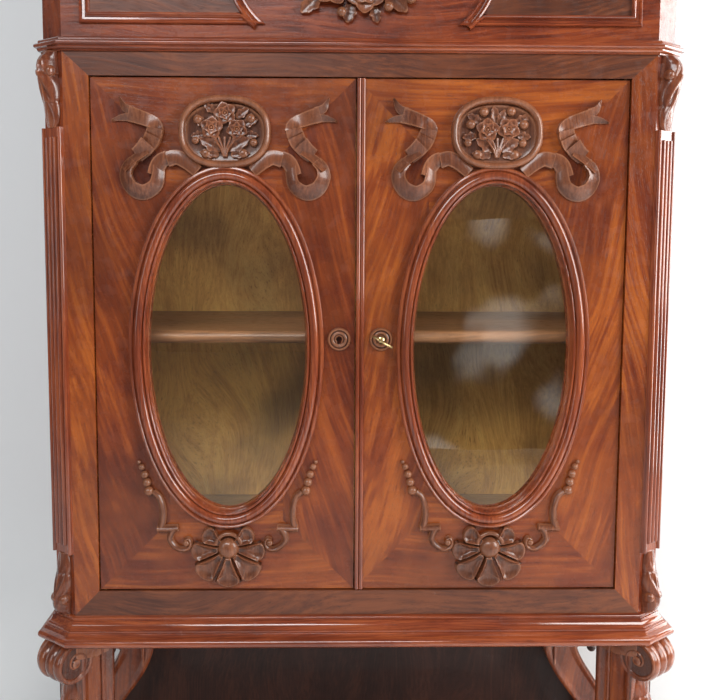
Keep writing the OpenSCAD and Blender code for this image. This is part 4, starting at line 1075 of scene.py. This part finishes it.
def on_rear(side):
    """Puts (across, out, z) shapes at a rear leg's place, facing sideways."""
    def place(p):
        return np.stack([side * (REAR_X + p[..., 1]), FACE_Y + REAR_Y + p[..., 0], p[..., 2]], -1)
    return place


for side, label in ((-1, "left"), (1, "right")):
    for end, place in (("front", on_cant(side, front_start)), ("rear", on_rear(side))):
        piece(f"{end}_{label}_scrolled_leg", leg(), place, "case", leg_wood,
              [f"{end}_{label}_leg"], sharp=32)


# ---------- bun feet ----------

PLATFORM_T = 56
FOOT_X, FOOT_DEPTHS = 415, (44, 362)


def bun_foot(x, y):
    """A turned foot: the sine-swelled bun between a toe and a collar, turned about its own upright axis."""
    top = PLATFORM_Z - PLATFORM_T
    profile = ([(0.3, 0), (23, 0), (26, 2), (27.5, 8)]
               + [(20 + 24 * math.cos(a), 42 + 31 * math.sin(a)) for a in np.linspace(-1.15, 1.15, 25)]
               + [(22, 76), (22, 80), (27, 82), (30, 86), (30, top), (0.3, top)])
    return turned(profile, (x, y), 56, axis=2)


feet = [bun_foot(x * FOOT_X, FACE_Y + y) for x in (-1, 1) for y in FOOT_DEPTHS]
piece("turned_bun_feet", feet, lambda p: p, "case", leg_wood, ["bun_feet"], sharp=30)


# ---------- stage, light and camera ----------

def add_plane(name, corners, material):
    """A flat part of the room with its material."""
    mesh = bpy.data.meshes.new(name)
    mesh.from_pydata(corners, [], [(0, 1, 2, 3)])
    mesh.materials.append(material)
    obj = add_object(name, mesh)
    return obj


def stage_plane(name, corners, colour):
    """A pale surface of the room, with very soft clouds of tone in its colour, clear from behind."""
    material, tree, shader, coords = new_material(name)
    clouds = noise(tree, coords, 1.2, 3.0).outputs["Fac"]
    tree.links.new(mixed(tree, clouds, colour, [c * 0.96 for c in colour]), shader.inputs["Base Color"])
    shader.inputs["Roughness"].default_value = 0.8
    see_through(tree, shader, tree.nodes.new("ShaderNodeNewGeometry").outputs["Backfacing"])
    add_plane(name, corners, material)


WALL_GAP = 0.05
ROOM_X, ROOM_FRONT, ROOM_TOP = 6, -8, 5
wall_y = BACK_Y * MM + WALL_GAP
stage_plane("floor", [(-ROOM_X, ROOM_FRONT, 0), (ROOM_X, ROOM_FRONT, 0), (ROOM_X, wall_y, 0),
                      (-ROOM_X, wall_y, 0)], (0.80, 0.80, 0.79))
stage_plane("wall", [(-ROOM_X, wall_y, 0), (ROOM_X, wall_y, 0), (ROOM_X, wall_y, ROOM_TOP),
                     (-ROOM_X, wall_y, ROOM_TOP)], (0.80, 0.815, 0.82))


def area_light(name, place, target, size, power, colour):
    """A flat lamp at a place, facing a target."""
    lamp = bpy.data.lights.new(name, "AREA")
    lamp.shape = "RECTANGLE"
    lamp.size, lamp.size_y = size
    lamp.energy = power
    lamp.color = colour
    obj = add_object(name, lamp)
    away = np.array(place, float) - np.array(target, float)
    flat = math.hypot(away[0], away[1])
    obj.location = place
    obj.rotation_euler = (math.atan2(flat, away[2]), 0, math.atan2(away[0], -away[1]))


area_light("window_right", (2.7, -1.7, 1.9), (0.1, 0, 1.1), (1.4, 2.0), 92, (1.0, 0.985, 0.96))
area_light("light_wall_right", (2.3, 0.02, 1.35), (0.46, -0.16, 1.2), (0.5, 1.9), 34, (1.0, 0.99, 0.98))
area_light("room_front", (-1.0, -3.1, 3.1), (0, 0, 1.0), (2.4, 0.9), 74, (0.96, 0.98, 1.0))
area_light("room_left", (-2.9, -2.4, 1.7), (-0.6, 0.2, 1.1), (0.5, 1.8), 14, (0.93, 0.97, 1.0))
area_light("lamp_over_shelf", (0, -0.07, 1.455), (0, 0.25, 1.15), (0.7, 0.03), 0.32, (1.0, 0.95, 0.85))

room, room_tree, room_shader, place_in_room = new_material("room_behind_viewer")
blur = noise(room_tree, place_in_room, 2.6, 2.0, 0.35).outputs["Fac"]
glow = maths(room_tree, "MULTIPLY", ramped(room_tree, blur, 0.48, 0.66), 1.5)
room_tree.links.new(glow, room_shader.inputs["Emission Strength"])
room_shader.inputs["Emission Color"].default_value = (0.95, 0.93, 0.90, 1)
room_shader.inputs["Base Color"].default_value = (0.02, 0.018, 0.015, 1)
behind_viewer = add_plane("room_behind_viewer", [(0.35, -3.4, 0.1), (0.35, -3.4, 1.35), (1.35, -3.4, 1.35),
                                                 (1.35, -3.4, 0.1)], room)
behind_viewer.visible_camera = False

world = bpy.data.worlds.new("room")
bpy.context.scene.world = world
world.use_nodes = True
world.node_tree.nodes["Background"].inputs["Color"].default_value = (0.88, 0.92, 0.96, 1)
world.node_tree.nodes["Background"].inputs["Strength"].default_value = 0.13
bpy.context.scene.view_settings.view_transform = "Standard"

# The camera's place from the middle of the case's face and the doors' lower edge, and its turns
CAMERA_X, CAMERA_BACK, CAMERA_UP = -59.9, 1251.7, 543.7
PAN, TILT, ROLL = -0.0173, math.pi / 2 - 0.0882, 0.0035
camera = add_object("camera", bpy.data.cameras.new("camera"))
turn = Matrix.Rotation(PAN, 4, "Z") @ Matrix.Rotation(TILT, 4, "X") @ Matrix.Rotation(ROLL, 4, "Z")
place = Matrix.Translation((CAMERA_X * MM, (FACE_Y - CAMERA_BACK) * MM, (DOOR_Z + CAMERA_UP) * MM))
camera.matrix_world = place @ turn
camera.data.sensor_width = 36
camera.data.lens = 42.40
camera.data.shift_x, camera.data.shift_y = 0.0313, -0.057
bpy.context.scene.camera = camera
